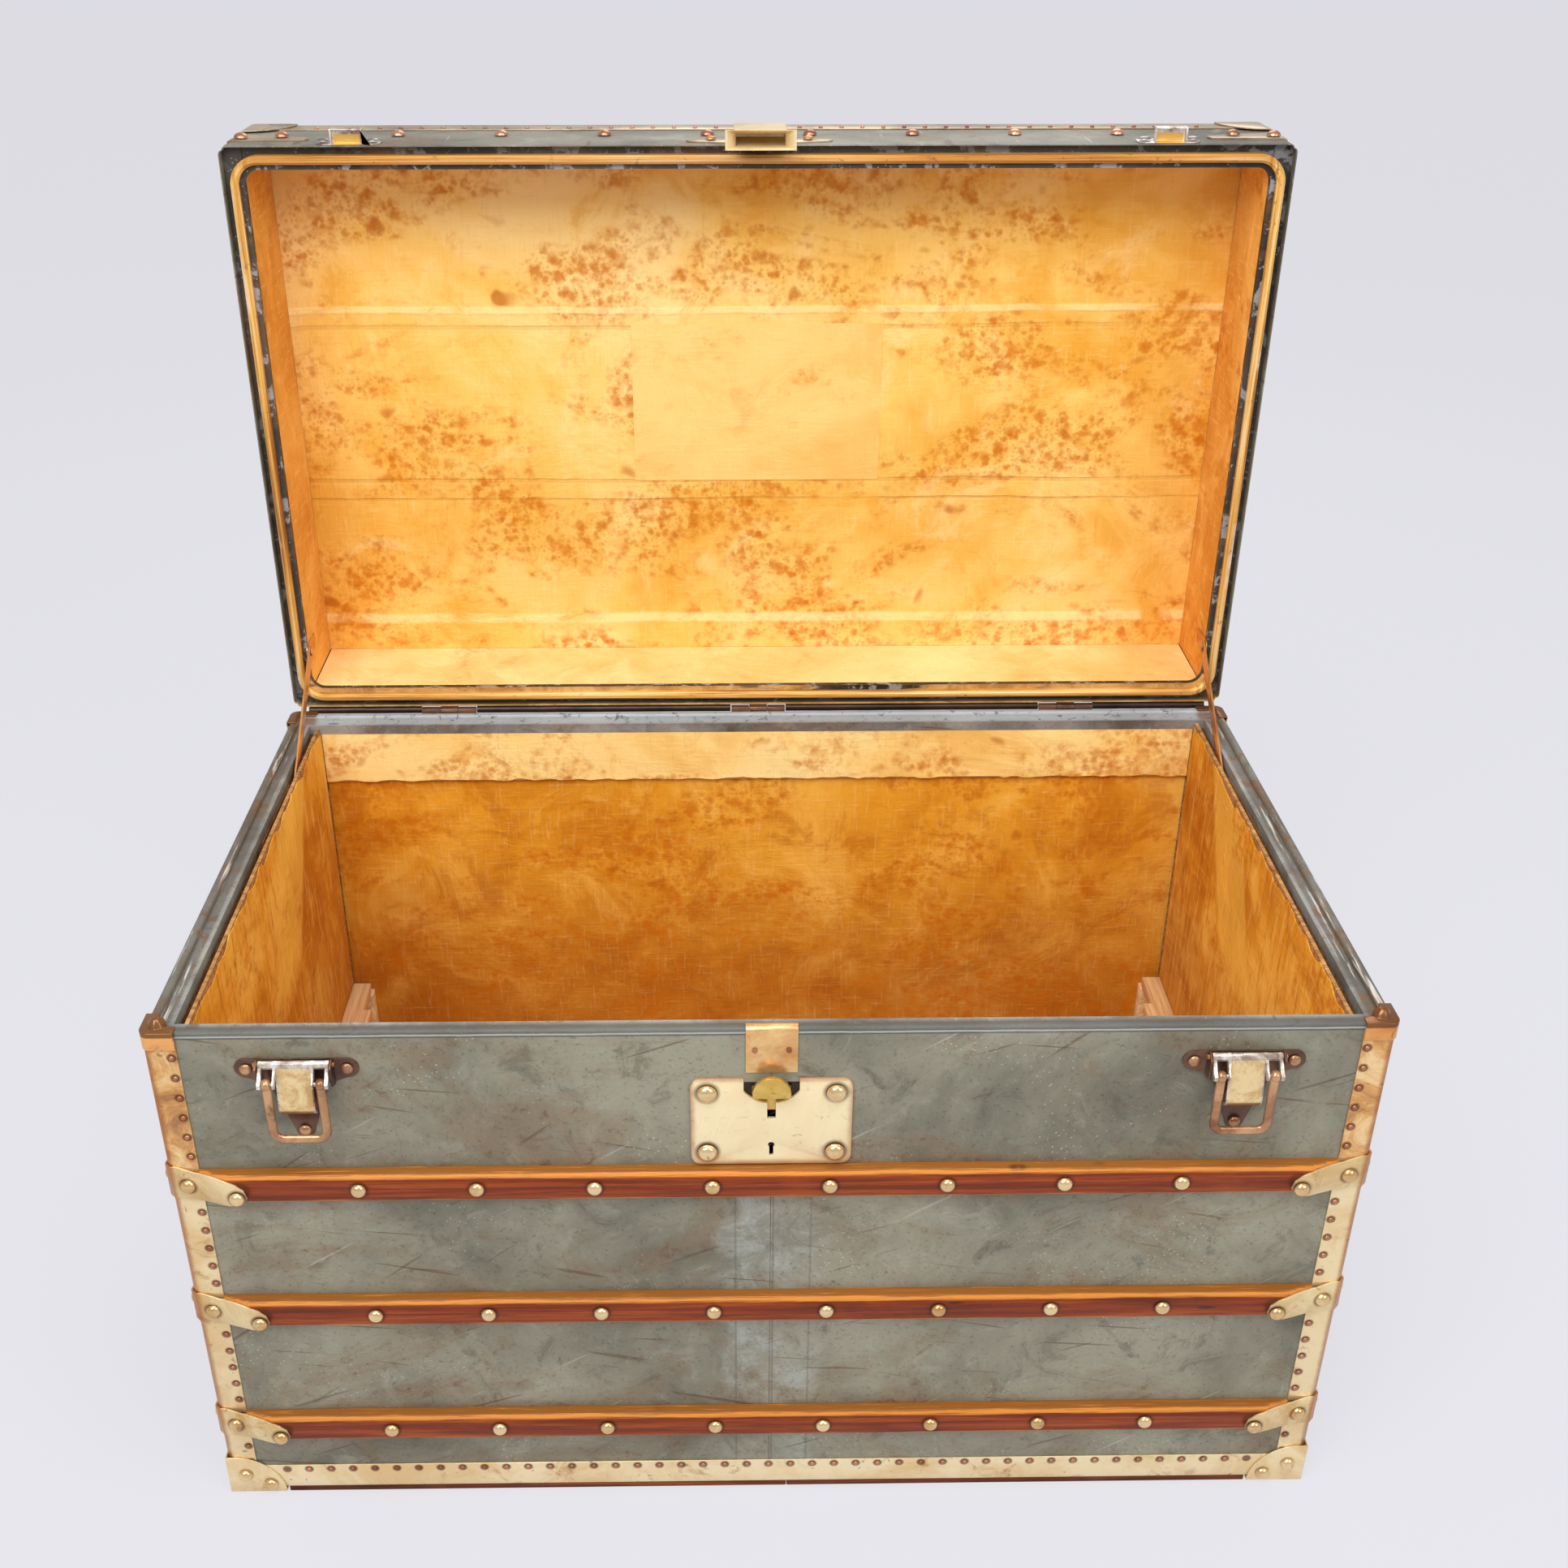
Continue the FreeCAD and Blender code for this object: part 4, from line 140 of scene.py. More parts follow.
def tone(red, green, blue):
    """A screen colour, made linear."""
    def linear(value):
        value /= 255
        return value / 12.92 if value <= 0.04045 else ((value + 0.055) / 1.055) ** 2.4
    return (linear(red), linear(green), linear(blue), 1.0)


class Pattern:
    """A number over the surface. Arithmetic with it adds nodes to its finish."""

    def __init__(self, finish, socket):
        self.finish, self.socket = finish, socket

    def reckon(self, operation, *others):
        return self.finish.pattern("ShaderNodeMath", enumerate((self, *others)), 0,
                                   operation=operation)

    def __add__(self, other):
        return self.reckon("ADD", other)

    def __sub__(self, other):
        return self.reckon("SUBTRACT", other)

    def __mul__(self, other):
        return self.reckon("MULTIPLY", other)

    def __abs__(self):
        return self.reckon("ABSOLUTE")

    def level(self, low, high):
        """0 below low, 1 above high, smooth between; low above high turns it round."""
        return self.finish.pattern("ShaderNodeMapRange", {
            "Value": self, "From Min": min(low, high), "From Max": max(low, high),
            "To Min": float(low > high), "To Max": float(low < high)}, "Result",
            interpolation_type="SMOOTHSTEP")

    def every(self, pitch, start):
        """Distance from the nearest of evenly pitched places along one axis."""
        wrapped = (self - (start - pitch / 2)).reckon("FLOORED_MODULO", pitch)
        return abs(wrapped - pitch / 2)

    def away(self, other):
        """Length of a step of this by the other."""
        return (self * self + other * other).reckon("SQRT")


class Finish:
    """One material, built up from patterns and washes of colour."""

    def __init__(self, name, metallic=0.0, coat=0.0, shine=0.5):
        self.material = bpy.data.materials.new(name)
        self.material.use_nodes = True
        self.tree = self.material.node_tree
        self.shader = self.tree.nodes["Principled BSDF"]
        self.fill(self.shader, {"Metallic": metallic, "Specular IOR Level": shine,
                                "Coat Weight": coat, "Coat Roughness": 0.25})
        self.place = self.add("ShaderNodeTexCoord").outputs["Object"]
        split = self.add("ShaderNodeSeparateXYZ", {0: self.place})
        self.axes = [Pattern(self, socket) for socket in split.outputs]
        self.colour = self.relief = None

    def fill(self, node, inputs):
        """Links patterns and sockets to a node's inputs, or sets them to a number or a colour."""
        for name, value in dict(inputs).items():
            socket = node.inputs[name]
            value = value.socket if isinstance(value, Pattern) else value
            if isinstance(value, bpy.types.NodeSocket):
                self.tree.links.new(value, socket)
            else:
                socket.default_value = tone(*value) if socket.type == "RGBA" else value

    def add(self, kind, inputs=(), **settings):
        made = self.tree.nodes.new(kind)
        for key, value in settings.items():
            setattr(made, key, value)
        self.fill(made, inputs)
        return made

    def pattern(self, kind, inputs, output, **settings):
        return Pattern(self, self.add(kind, inputs, **settings).outputs[output])

    def stretched(self, scale=(1, 1, 1), turn=(0, 0, 0), shift=(0, 0, 0)):
        """The place, turned and then scaled; a small scale along an axis draws patterns out."""
        return self.add("ShaderNodeMapping", {
            "Vector": self.place, "Location": shift, "Scale": [1 / value for value in scale],
            "Rotation": [math.radians(angle) for angle in turn]}, vector_type="TEXTURE").outputs[0]

    def cloud(self, scale, detail=5.0, rough=0.6, bent=0.0, place=None):
        return self.pattern("ShaderNodeTexNoise", {
            "Vector": place or self.place, "Scale": scale, "Detail": detail, "Roughness": rough,
            "Distortion": bent}, "Fac")

    def cells(self, scale, place=None, feature="F1"):
        return self.pattern("ShaderNodeTexVoronoi", {"Vector": place or self.place, "Scale": scale},
                            "Distance", feature=feature)

    def ramp(self, pattern, *stops):
        """The colours of the stops, (position, colour), in the order of the pattern."""
        made = self.add("ShaderNodeValToRGB", {"Fac": pattern})
        elements = made.color_ramp.elements
        while len(elements) < len(stops):
            elements.new(0.5)
        for element, (position, colour) in zip(elements, stops):
            element.position = position
            element.color = tone(*colour)
        return made.outputs["Color"]

    def base(self, pattern, *stops):
        self.colour = self.ramp(pattern, *stops)

    def wash(self, colour, amount):
        """Lays a colour over what is there."""
        self.colour = self.add("ShaderNodeMix", {"Factor": amount, 6: self.colour, 7: colour},
                               data_type="RGBA").outputs[2]

    def raise_by(self, pattern, depth):
        """Adds a pattern to the relief; depth is in metres."""
        part = pattern * depth
        self.relief = part if self.relief is None else self.relief + part

    def done(self, rough):
        bump = self.add("ShaderNodeBump", {"Strength": 1.0, "Distance": 1.0, "Height": self.relief})
        self.fill(self.shader, {"Base Color": self.colour, "Roughness": rough,
                                "Normal": bump.outputs[0]})
        return self.material


# %% [markdown]
# ## Zinc
# Old zinc goes a dull grey-green. It carries clouds of lighter oxide, brown stains that run where
# hands and straps rubbed, and long thin scratches. It is only partly metallic to the eye, because
# the oxide scatters light. The joint of the two front sheets shows as a paler upright band.

# %% Zinc finishes


def add_seam(finish, x, z, mottle):
    """The paler upright band of the joint at the middle of the front, with its fold lines."""
    band = abs(x - 0.001).level(0.05, 0.02) * z.level(0.332, 0.318)
    finish.wash((164, 168, 160), band * mottle.level(0.4, 0.78))
    fold = x.every(0.029, 0.002).level(0.0011, 0.0003) * band
    finish.wash((84, 82, 72), fold * 0.4)
    finish.raise_by(fold, -0.0003)


def add_bead(finish, x, y, z, mottle):
    """The rim: a dark front bead with a painted highlight on its crest, pale streaks of wear and
    painted highlight on the sides, and a pale, pitted rear.
    """
    front, side = y.level(-0.24, -0.246), abs(x).level(0.434, 0.437)
    rear = y.level(0.24, 0.244)
    finish.wash((80, 78, 72), front * 0.8)
    # painted highlight: a pale line along the crest of the dark front bead
    crest_highlight = abs(z + (mottle - 0.5) * 0.0016 - 0.4722).level(0.0011, 0.0004)
    finish.wash((206, 206, 196), crest_highlight * front * 0.55)
    finish.wash((84, 78, 70), side * 0.6)
    finish.wash((186, 192, 196), rear * 0.6)
    finish.wash((120, 88, 58), finish.cloud(34, 5, 0.72, 0.6).level(0.5, 0.6) * side * 0.75)
    # pale streaks along the sides: partly wear, partly a painted highlight along the bead
    pale_streak_and_highlight = finish.cloud(70, 4, 0.7, 0.2, finish.stretched((3, 0.14, 3))).level(0.56, 0.66)
    finish.wash((224, 224, 216), pale_streak_and_highlight * side * 0.75)
    finish.wash((72, 66, 60), finish.cloud(130, 4, 0.7, 0.5).level(0.57, 0.66) * rear * 0.7)
    finish.wash((126, 90, 56), rear * abs(x).level(0.424, 0.43) * 0.7)


def zinc_finish(name, light, dark, wear=0.35, seam=False, bead=False, flecks=0.0, low_run=0.0):
    finish = Finish(name, metallic=0.12, shine=0.4)
    x, y, z = finish.axes
    broad = finish.cloud(4.6, 5, 0.66, 0.5)
    mottle = finish.cloud(24, 6, 0.74, 0.8)
    grain = finish.cloud(340, 2, 0.7)
    finish.base(broad, (0.36, dark), (0.62, light))
    finish.wash((176, 176, 160), mottle.level(0.52, 0.72) * wear)
    finish.wash((74, 70, 56), mottle.level(0.47, 0.3) * 0.55)
    # brown stain: broad veils, and rusty mottle inside them
    drawn = finish.stretched((1, 1, 1.4), shift=(3, 1, 2))
    veil = finish.cloud(7, 6, 0.7, 1.1, drawn).level(0.48, 0.66)
    finish.wash((126, 98, 68), veil * 0.45)
    finish.wash((100, 66, 44), finish.cloud(70, 5, 0.75, 0.6).level(0.53, 0.66) * veil * 0.6)
    if seam:
        add_seam(finish, x, z, mottle)
    # scratches: the crests of slanted, drawn-out clouds, in patches
    for slant, across, low, seed in ((12, 170, 0.73, 0), (-20, 220, 0.735, 5), (5, 280, 0.74, 9),
                                     (-38, 140, 0.755, 13)):
        drawn = finish.stretched((9, 9, across), turn=(0, slant, 0), shift=(seed, 0, seed))
        scratch = finish.cloud(1, 1, 0.4, 0.0, drawn).level(low, low + 0.05)
        finish.wash((84, 54, 34), scratch * 0.5)
        finish.raise_by(scratch, -0.0001)
    drawn = finish.stretched((12, 12, 260), turn=(0, -32, 0), shift=(1, 0, 7))
    finish.wash((190, 190, 178), finish.cloud(1, 1, 0.4, 0.0, drawn).level(0.72, 0.8) * 0.35)
    specks = finish.cells(240).level(0.2, 0.1) * finish.cloud(11, 3, 0.6, 0.4).level(0.5, 0.64)
    finish.wash((206, 204, 190), specks * 0.55)
    finish.wash((52, 48, 40), grain.level(0.45, 0.24) * 0.4)
    if bead:
        add_bead(finish, x, y, z, mottle)
    if flecks:
        chips = finish.cloud(90, 4, 0.7, 0.4, finish.stretched((0.5, 1, 0.5))).level(0.54, 0.6)
        finish.wash((186, 190, 194), chips * flecks)
    if low_run:
        run = finish.cloud(40, 4, 0.7, 0.3, finish.stretched((0.12, 1, 1))).level(0.36, 0.44)
        run = z.level(low_run, low_run - 0.002) * run * y.level(0.2662, 0.2652)
        finish.wash(finish.ramp(mottle, (0.4, (176, 126, 60)), (0.6, (222, 176, 106))), run)
    finish.raise_by(broad, 0.0022)
    finish.raise_by(mottle, 0.0004)
    return finish.done(mottle * 0.3 + 0.4)


zinc = zinc_finish("zinc_walls", (150, 146, 126), (106, 103, 88), seam=True)
zinc_rim = zinc_finish("zinc_rim", (164, 166, 162), (92, 90, 84), 0.6, bead=True)
zinc_lid = zinc_finish("zinc_lid", (132, 128, 114), (82, 79, 71), 0.5, low_run=0.486)
# near-black zinc for the lid's board edges: dark zinc, darkened further as painted shade of the gap
# between the zinc shell and the lip
lid_edge_dark_zinc_and_shade = zinc_finish("zinc_lid_edge_and_painted_shade", (70, 66, 58), (32, 30, 27), 0.3, flecks=0.3,
                        low_run=0.4895)
zinc_strip = zinc_finish("zinc_inner_strip", (70, 62, 54), (32, 28, 25), 0.1, flecks=0.5,
                         low_run=0.51)

# %% [markdown]
# ## Brass
# The brass was polished for years and has a pale gold face, with brown grime left where a cloth
# can't reach: along edges, round nails and round rivet heads. The upper corners have gone to an
# orange copper tone. One graph does all of this. The dark halos are rings at the places of nails
# and rivets, and a worn edge is a pattern that rises toward a piece's edge.

# %% Brass finishes


def brass_finish(name, pale, mid, stain, grime=0.5, metallic=0.55, rough=0.3, upper=False, halos=(),
                 worn_edge=None):
    finish = Finish(name, metallic=metallic)
    broad = finish.cloud(13, 7, 0.66, 0.7)
    fine = finish.cloud(75, 6, 0.7, 0.3)
    finish.base(broad, (0.36, mid), (0.56, pale))
    if upper:
        warm = finish.ramp(finish.cloud(22, 6, 0.7, 1.0), (0.38, (150, 84, 34)),
                           (0.5, (214, 152, 80)), (0.62, (240, 204, 148)))
        finish.wash(warm, finish.axes[2].level(0.345, 0.36) * 0.85)
    patches = finish.cloud(27, 8, 0.72, 1.2, finish.stretched(shift=(2, 5, 1))).level(0.56, 0.7)
    finish.wash(stain, patches * grime)
    finish.wash((96, 54, 24), fine.level(0.62, 0.78) * (grime * 0.8))
    if worn_edge:
        edge = worn_edge(*finish.axes) + (fine - 0.5) * 0.5
        finish.wash(stain, edge.level(0.25, 0.95) * 0.8)
    finish.wash((92, 50, 24), finish.cloud(120, 3, 0.6, 0.6).level(0.66, 0.72) * grime)
    for halo in halos:
        first, second, radius = halo(*finish.axes)
        finish.wash((96, 50, 24), first.away(second).level(radius, radius * 0.6) * 0.85)
    finish.raise_by(broad, 0.0008)
    finish.raise_by(fine, 0.00012)
    return finish.done(patches * 0.25 + rough)


# a halo is two distances from its middle and a radius
NAIL_HALO = 0.0046


def angle_front(x, y, z):
    return abs(x) - NAIL_X, z.every(NAIL_PITCH, NAIL_TOP), NAIL_HALO


def angle_end(x, y, z):
    return abs(y) - NAIL_Y, z.every(NAIL_PITCH, NAIL_TOP), NAIL_HALO


def strip_front(x, y, z):
    return x.every(STRIP_PITCH, 0.0), z - STRIP_Z, NAIL_HALO


def clamp_tip(x, y, z):
    return abs(x) - CLAMP_TIP_X, z.every(SLAT_PITCH, SLAT_HEIGHTS[0] - CLAMP_TIP_DROP), 0.0094


def clamp_root(x, y, z):
    return abs(x) - CLAMP_ROOT_X, z.every(SLAT_PITCH, SLAT_HEIGHTS[0] - CLAMP_ROOT_DROP), 0.0088


PLATE_MIDDLE = 0.3925


def plate_corner(x, y, z):
    return abs(x) - LOCK_RIVET_X, abs(z - PLATE_MIDDLE) - 0.0275, 0.0115


def plate_edge(x, y, z):
    return abs(x).level(0.05, 0.0635).reckon("MAXIMUM", abs(z - PLATE_MIDDLE).level(0.031, 0.0435))


def upright_corner(x, y, z):
    return abs(x).level(0.4405, 0.4505).reckon("MINIMUM", abs(y).level(0.2485, 0.2585))


def cap_top(x, y, z):
    return z.level(0.4715, 0.4745)


PALE, MID, BROWN = (240, 218, 172), (222, 184, 126), (168, 98, 44)
brass = brass_finish("brass_polished", PALE, MID, BROWN, 0.35)
brass_plate = brass_finish("brass_lock_plate", (248, 230, 184), (240, 214, 164), (178, 116, 78),
                           0.3, 0.45, halos=(plate_corner,), worn_edge=plate_edge)
brass_clamp = brass_finish("brass_clamps", (236, 214, 164), (206, 168, 108), BROWN, 0.45,
                           halos=(clamp_tip, clamp_root), worn_edge=upright_corner)
brass_catch = brass_finish("brass_catch", (226, 190, 100), (186, 138, 54), (110, 66, 24),
                           0.5, 0.7, 0.22)
brass_strap = brass_finish("brass_strap", (240, 200, 138), (204, 146, 82), (124, 70, 34), 0.65,
                           rough=0.24)
brass_corner = brass_finish("brass_corner", PALE, (228, 194, 140), BROWN, 0.55, upper=True,
                            halos=(angle_front, angle_end), worn_edge=upright_corner)
brass_strip = brass_finish("brass_base_strip", (242, 222, 178), (228, 194, 138), BROWN, 0.55,
                           halos=(strip_front,))
rim_brown = brass_finish("rim_corner_brass", (238, 172, 100), (206, 130, 66), (84, 48, 28), 0.7,
                         rough=0.22, worn_edge=cap_top)
copper = brass_finish("brass_coppery", (214, 156, 92), (176, 104, 50), (104, 52, 24), 0.6,
                      rough=0.28)
patina = brass_finish("brass_dark_patina", (120, 86, 66), (78, 54, 46), (46, 32, 28), 0.6, 0.6)
nail_metal = brass_finish("nail_heads", (196, 132, 96), (132, 70, 46), (70, 34, 24), 0.6)
dome_metal = brass_finish("rivet_heads", (238, 210, 160), (206, 160, 98), (112, 66, 32),
                          0.45, 0.8, 0.2)
aged_brass = brass_finish("brass_aged", (190, 170, 140), (146, 124, 98), (76, 54, 38), 0.6, 0.6)
ring_metal = brass_finish("latch_ring", (208, 160, 116), (132, 84, 56), (60, 34, 24), 0.75,
                          rough=0.24)
dull_dome = brass_finish("lid_rivet_heads", (206, 152, 122), (140, 84, 62), (62, 36, 28),
                         0.6, 0.7, 0.25)
dark_ear = brass_finish("catch_ears", (150, 140, 134), (74, 62, 58), (34, 26, 26), 0.7, 0.7, 0.25)
# near-black painted shade: the inside of the lock seen through its slot, and the strip in the hinge
# gap
painted_gap_shade = brass_finish("lock_inside_painted_shade", (62, 44, 34), (36, 26, 20), (16, 12, 9), 0.5)
steel = brass_finish("spring_steel", (96, 98, 102), (60, 60, 64), (70, 44, 28), 0.4)

# %% The lip, with streaks that run along it


def lip_finish():
    finish = Finish("lip_varnished_brass", metallic=0.2, shine=0.4)
    x, y, z = finish.axes
    lying = finish.cloud(60, 4, 0.7, 0.0, finish.stretched((0.07, 1, 4)))
    upright = finish.cloud(60, 4, 0.7, 0.0, finish.stretched((4, 1, 0.07)))
    streaks = lying + (upright - lying) * abs(x).level(0.42, 0.43)
    finish.base(streaks, (0.36, (150, 92, 34)), (0.5, (222, 164, 76)), (0.6, (236, 194, 120)),
                (0.72, (246, 228, 196)))
    # pale patches on the outer side of the upright runs: partly wear, partly a painted highlight
    # line
    worn_and_highlight = finish.cloud(7, 5, 0.7, 0.8).level(0.5, 0.62)
    finish.wash((236, 220, 196), worn_and_highlight * abs(x).level(0.4385, 0.4405) * 0.8)
    # darker along the top run, beside the lid's front wall: painted shade
    finish.wash((166, 98, 30), z.level(0.974, 0.984) * 0.5)
    finish.wash((60, 36, 20), finish.cloud(110, 4, 0.7, 0.5).level(0.62, 0.7) * 0.5)
    finish.raise_by(streaks, 0.0006)
    return finish.done(0.42)


lip_gold = lip_finish()

# %% Two-coloured finishes for the latches


def two_tone(name, pick_out):
    """Worn white metal, with polished or browned parts picked out by their place."""
    finish = Finish(name, metallic=0.65)
    cloudy = finish.cloud(60, 5, 0.7, 0.6)
    finish.base(cloudy, (0.36, (120, 88, 66)), (0.5, (196, 182, 168)), (0.64, (240, 236, 230)))
    pick_out(finish, cloudy, *finish.axes)
    finish.raise_by(cloudy, 0.0005)
    return finish.done(cloudy * 0.25 + 0.2)


def lever_parts(finish, cloudy, x, y, z):
    tongue = abs(abs(x) - LATCH_X).level(0.0126, 0.0118) * z.level(0.4515, 0.4495)
    finish.wash(finish.ramp(cloudy, (0.36, (206, 164, 104)), (0.56, (240, 214, 160))), tongue)
    finish.wash((150, 92, 44), tongue * z.level(0.4175, 0.4155) * 0.8)


def catch_parts(finish, cloudy, x, y, z):
    middle = abs(abs(x) - LATCH_X).level(0.0116, 0.0106) * z.level(1.0046, 1.0036)
    finish.wash((226, 176, 88), middle)


lever_finish = two_tone("latch_lever", lever_parts)
catch_finish = two_tone("lid_catch", catch_parts)

# %% [markdown]
# ## Wood
# The slats are varnished a deep red-brown. Their edges have worn back to pale wood, and dark pores
# run the long way. The grain is a cloud stretched along the slat, so the slats along X and the
# slats along Y each have their own.

# %% Wood finishes


def add_wear(finish, along, rivets, first, pitch, pores, broad):
    """Pale edges, dirt beside them, dark rings at the rivets and dents; for a row of slats."""
    across = finish.axes[2].every(pitch, first)
    wavy = across + (pores - 0.5) * 0.006
    finish.wash((222, 140, 48), wavy.level(0.0088, 0.0112) * 0.85)
    finish.wash((60, 30, 14), wavy.level(0.0118, 0.0128) * 0.6)
    ring = finish.axes["XY".index(along)].every(RIVET_PITCH, rivets).away(across)
    finish.wash((60, 26, 10), ring.level(0.0094, 0.0058) * 0.6)
    dents = finish.cells(26, finish.stretched((0.5, 1, 2))).level(0.13, 0.05)
    dents = dents * broad.level(0.46, 0.56)
    finish.wash((48, 24, 14), dents * 0.7)
    finish.raise_by(dents, -0.0005)


def wood_finish(name, dark, mid, light, along="X", rough=0.6, row=None):
    """Wood with its grain along an axis; row is (first height, pitch) of worn, varnished slats."""
    finish = Finish(name, coat=0.08 if row else 0.0, shine=0.25)
    drawn = finish.stretched([1.2 if axis == along else 40 for axis in "XYZ"])
    grain = finish.cloud(4.2, 8, 0.68, 0.5, drawn)
    pores = finish.cloud(14, 6, 0.72, 0.2, drawn)
    broad = finish.cloud(9, 5, 0.6, 0.5)
    finish.base(grain, (0.36, dark), (0.5, mid), (0.66, light))
    finish.wash(dark, pores.level(0.5, 0.36) * 0.6)
    finish.wash(light, broad.level(0.56, 0.74) * 0.35)
    if row:
        add_wear(finish, along, RIVET_PITCH / 2 if along == "X" else 0.0, *row, pores, broad)
    finish.raise_by(grain, 0.0006)
    finish.raise_by(pores, 0.0002)
    return finish.done(pores * 0.3 + rough)


RED_WOOD = (92, 32, 5), (128, 48, 7), (164, 74, 12)
SLAT_ROW, LID_ROW = (SLAT_HEIGHTS[0], SLAT_PITCH), (LID_SLAT_HEIGHTS[0], LID_SLAT_PITCH)
slat_wood = wood_finish("slat_wood", *RED_WOOD, rough=0.32, row=SLAT_ROW)
slat_wood_end = wood_finish("slat_wood_end", *RED_WOOD, along="Y", rough=0.32, row=SLAT_ROW)
slat_wood_lid = wood_finish("slat_wood_lid", *RED_WOOD, rough=0.32, row=LID_ROW)
box_wood = wood_finish("box_boards", (128, 84, 44), (176, 128, 76), (206, 162, 108))
runner_wood = wood_finish("runner_wood", (50, 22, 12), (96, 44, 22), (140, 76, 38))
rest_wood = wood_finish("tray_rest_wood", (204, 160, 104), (232, 192, 138), (246, 218, 172),
                        along="Y", rough=0.5)
print("finishes so far:", len(bpy.data.materials))

# %% [markdown]
# ## Canvas
# The inside is lined in cotton canvas, pasted down and gone golden with age. Three things make it
# read as real: a fine weave, foxing (small brown spots that gather in drifts), and broad damp
# stains. Each wall gets the same graph, with its own depth of colour.

# %% Canvas finishes


def add_fibres(finish, y, z, amount):
    """Upright brown and pale fibres, and the paler strip that leans across each end wall."""
    fibre = finish.cloud(90, 5, 0.74, 0.1, finish.stretched((1.6, 1.6, 0.2)))
    finish.wash((176, 94, 18), fibre.level(0.52, 0.64) * amount)
    finish.wash((255, 214, 128), fibre.level(0.46, 0.36) * (amount * 0.7))
    strip = abs(y - (z * 0.65 - 0.192)).level(0.058, 0.046)
    foot = (z + (fibre - 0.5) * 0.16).level(0.315, 0.33)
    finish.wash((255, 208, 92), strip * foot * 0.55)


def add_foxing(finish, amount, here, seed):
    """Brown blotches and specks that gather where the damp was."""
    speck = finish.cloud(120, 2, 0.55, 0.2, here)
    blotch = finish.cloud(42, 4, 0.62, 0.5, here)
    damp = finish.cloud(6.5, 4, 0.66, 0.5, finish.stretched((1, 1, 1.7), shift=(seed, 3, 5)))
    damp = damp.level(0.6 - 0.16 * amount, 0.68 - 0.1 * amount)
    for scale, large, share in ((56, 0.54, 0.75), (120, 0.62, 0.65), (250, 0.62, 0.45)):
        ragged = finish.cells(scale, here) + (speck - 0.5) * 0.9
        spots = ragged.level(large, 0.08) * damp
        finish.wash((200, 112, 14), spots * (share * (0.4 + 0.6 * amount)))
    finish.wash((214, 132, 30), blotch.level(0.48, 0.66) * damp * (0.35 * amount))
    single = finish.cloud(30, 1, 0.5, 0.3, finish.stretched(shift=(seed, 8, 2))).level(0.7, 0.8)
    finish.wash((184, 98, 12), single * (0.8 * amount))


def canvas_finish(name, pale, mid, deep, foxing, threads, seed=0, low_edge=None, fibres=0.0,
                  folds=()):
    finish = Finish(name, shine=0.12)
    x, y, z = finish.axes
    here = finish.stretched(shift=(seed, seed, seed))
    broad = finish.cloud(3.6, 4, 0.62, 0.7, here)
    drift = finish.cloud(13, 5, 0.7, 0.7, here)
    lying = finish.cloud(36, 3, 0.65, 0.0, finish.stretched((1, 1, 10), shift=(seed, 0, 0)))
    upright = finish.cloud(36, 3, 0.65, 0.0, finish.stretched((10, 10, 1), shift=(seed, 0, 0)))
    finish.base(broad, (0.34, deep), (0.49, mid), (0.64, pale))
    finish.wash(pale, drift.level(0.52, 0.7) * 0.6)
    finish.wash(deep, drift.level(0.49, 0.34) * 0.6)
    if low_edge:
        low, high = low_edge
        finish.wash((166, 88, 24), (z + (drift - 0.5) * 0.3).level(high, low) * 0.6)
    for thread in (lying, upright):
        finish.wash((255, 222, 150), thread.level(0.54, 0.74) * threads)
        finish.wash((170, 96, 30), thread.level(0.44, 0.24) * (threads * 0.5))
    if fibres:
        add_fibres(finish, y, z, fibres)
    add_foxing(finish, foxing, here, seed)
    # folds: a painted highlight on each raised ridge and painted shade in each crease, with
    # matching relief
    for middle, half, strength, (shade, height) in folds:
        line = abs(z + (broad - 0.5) * 0.012 - middle).level(half, half * 0.4)
        line = line * drift.level(0.3, 0.55)
        finish.wash(shade, line * strength)
        finish.raise_by(line, height)
    weave = (x * 4200).reckon("SINE") * (z * 4200).reckon("SINE")
    for pattern, height in ((weave, 0.00003), (lying, 0.0004), (upright, 0.0004), (drift, 0.0026)):
        finish.raise_by(pattern, height)
    return finish.done(0.82)


# fold colours: painted highlight for a ridge, painted shade for a crease
RIDGE_HIGHLIGHT, CREASE_SHADE = ((255, 230, 164), 0.0006), ((196, 124, 46), -0.0005)
lid_canvas = canvas_finish(
    "lid_canvas", (250, 214, 140), (246, 196, 100), (230, 164, 56), 0.95, 0.22,
    folds=((0.838, 0.0045, 0.5, RIDGE_HIGHLIGHT), (0.822, 0.003, 0.25, CREASE_SHADE), (0.674, 0.003, 0.25, CREASE_SHADE),
           (0.655, 0.002, 0.3, CREASE_SHADE), (0.531, 0.007, 0.7, RIDGE_HIGHLIGHT)))
rear_canvas = canvas_finish("rear_canvas", (250, 194, 84), (232, 162, 42), (200, 120, 12),
                            0.9, 0.18, 2, low_edge=(0.1, 0.4))
side_canvas = canvas_finish("side_canvas", (255, 204, 92), (236, 166, 48), (196, 118, 20),
                            0.45, 0.2, 4, low_edge=(0.14, 0.44), fibres=0.5)
band_canvas = canvas_finish("band_canvas", (255, 230, 158), (255, 220, 138), (240, 186, 92),
                            0.75, 0.2, 6)
floor_canvas = canvas_finish("floor_canvas", (214, 154, 80), (192, 124, 54), (164, 94, 34),
                             0.6, 0.3, 8)
lid_rear_canvas = canvas_finish("lid_rear_canvas", (255, 224, 160), (252, 208, 138),
                                (242, 188, 108), 0.25, 0.35, 6)
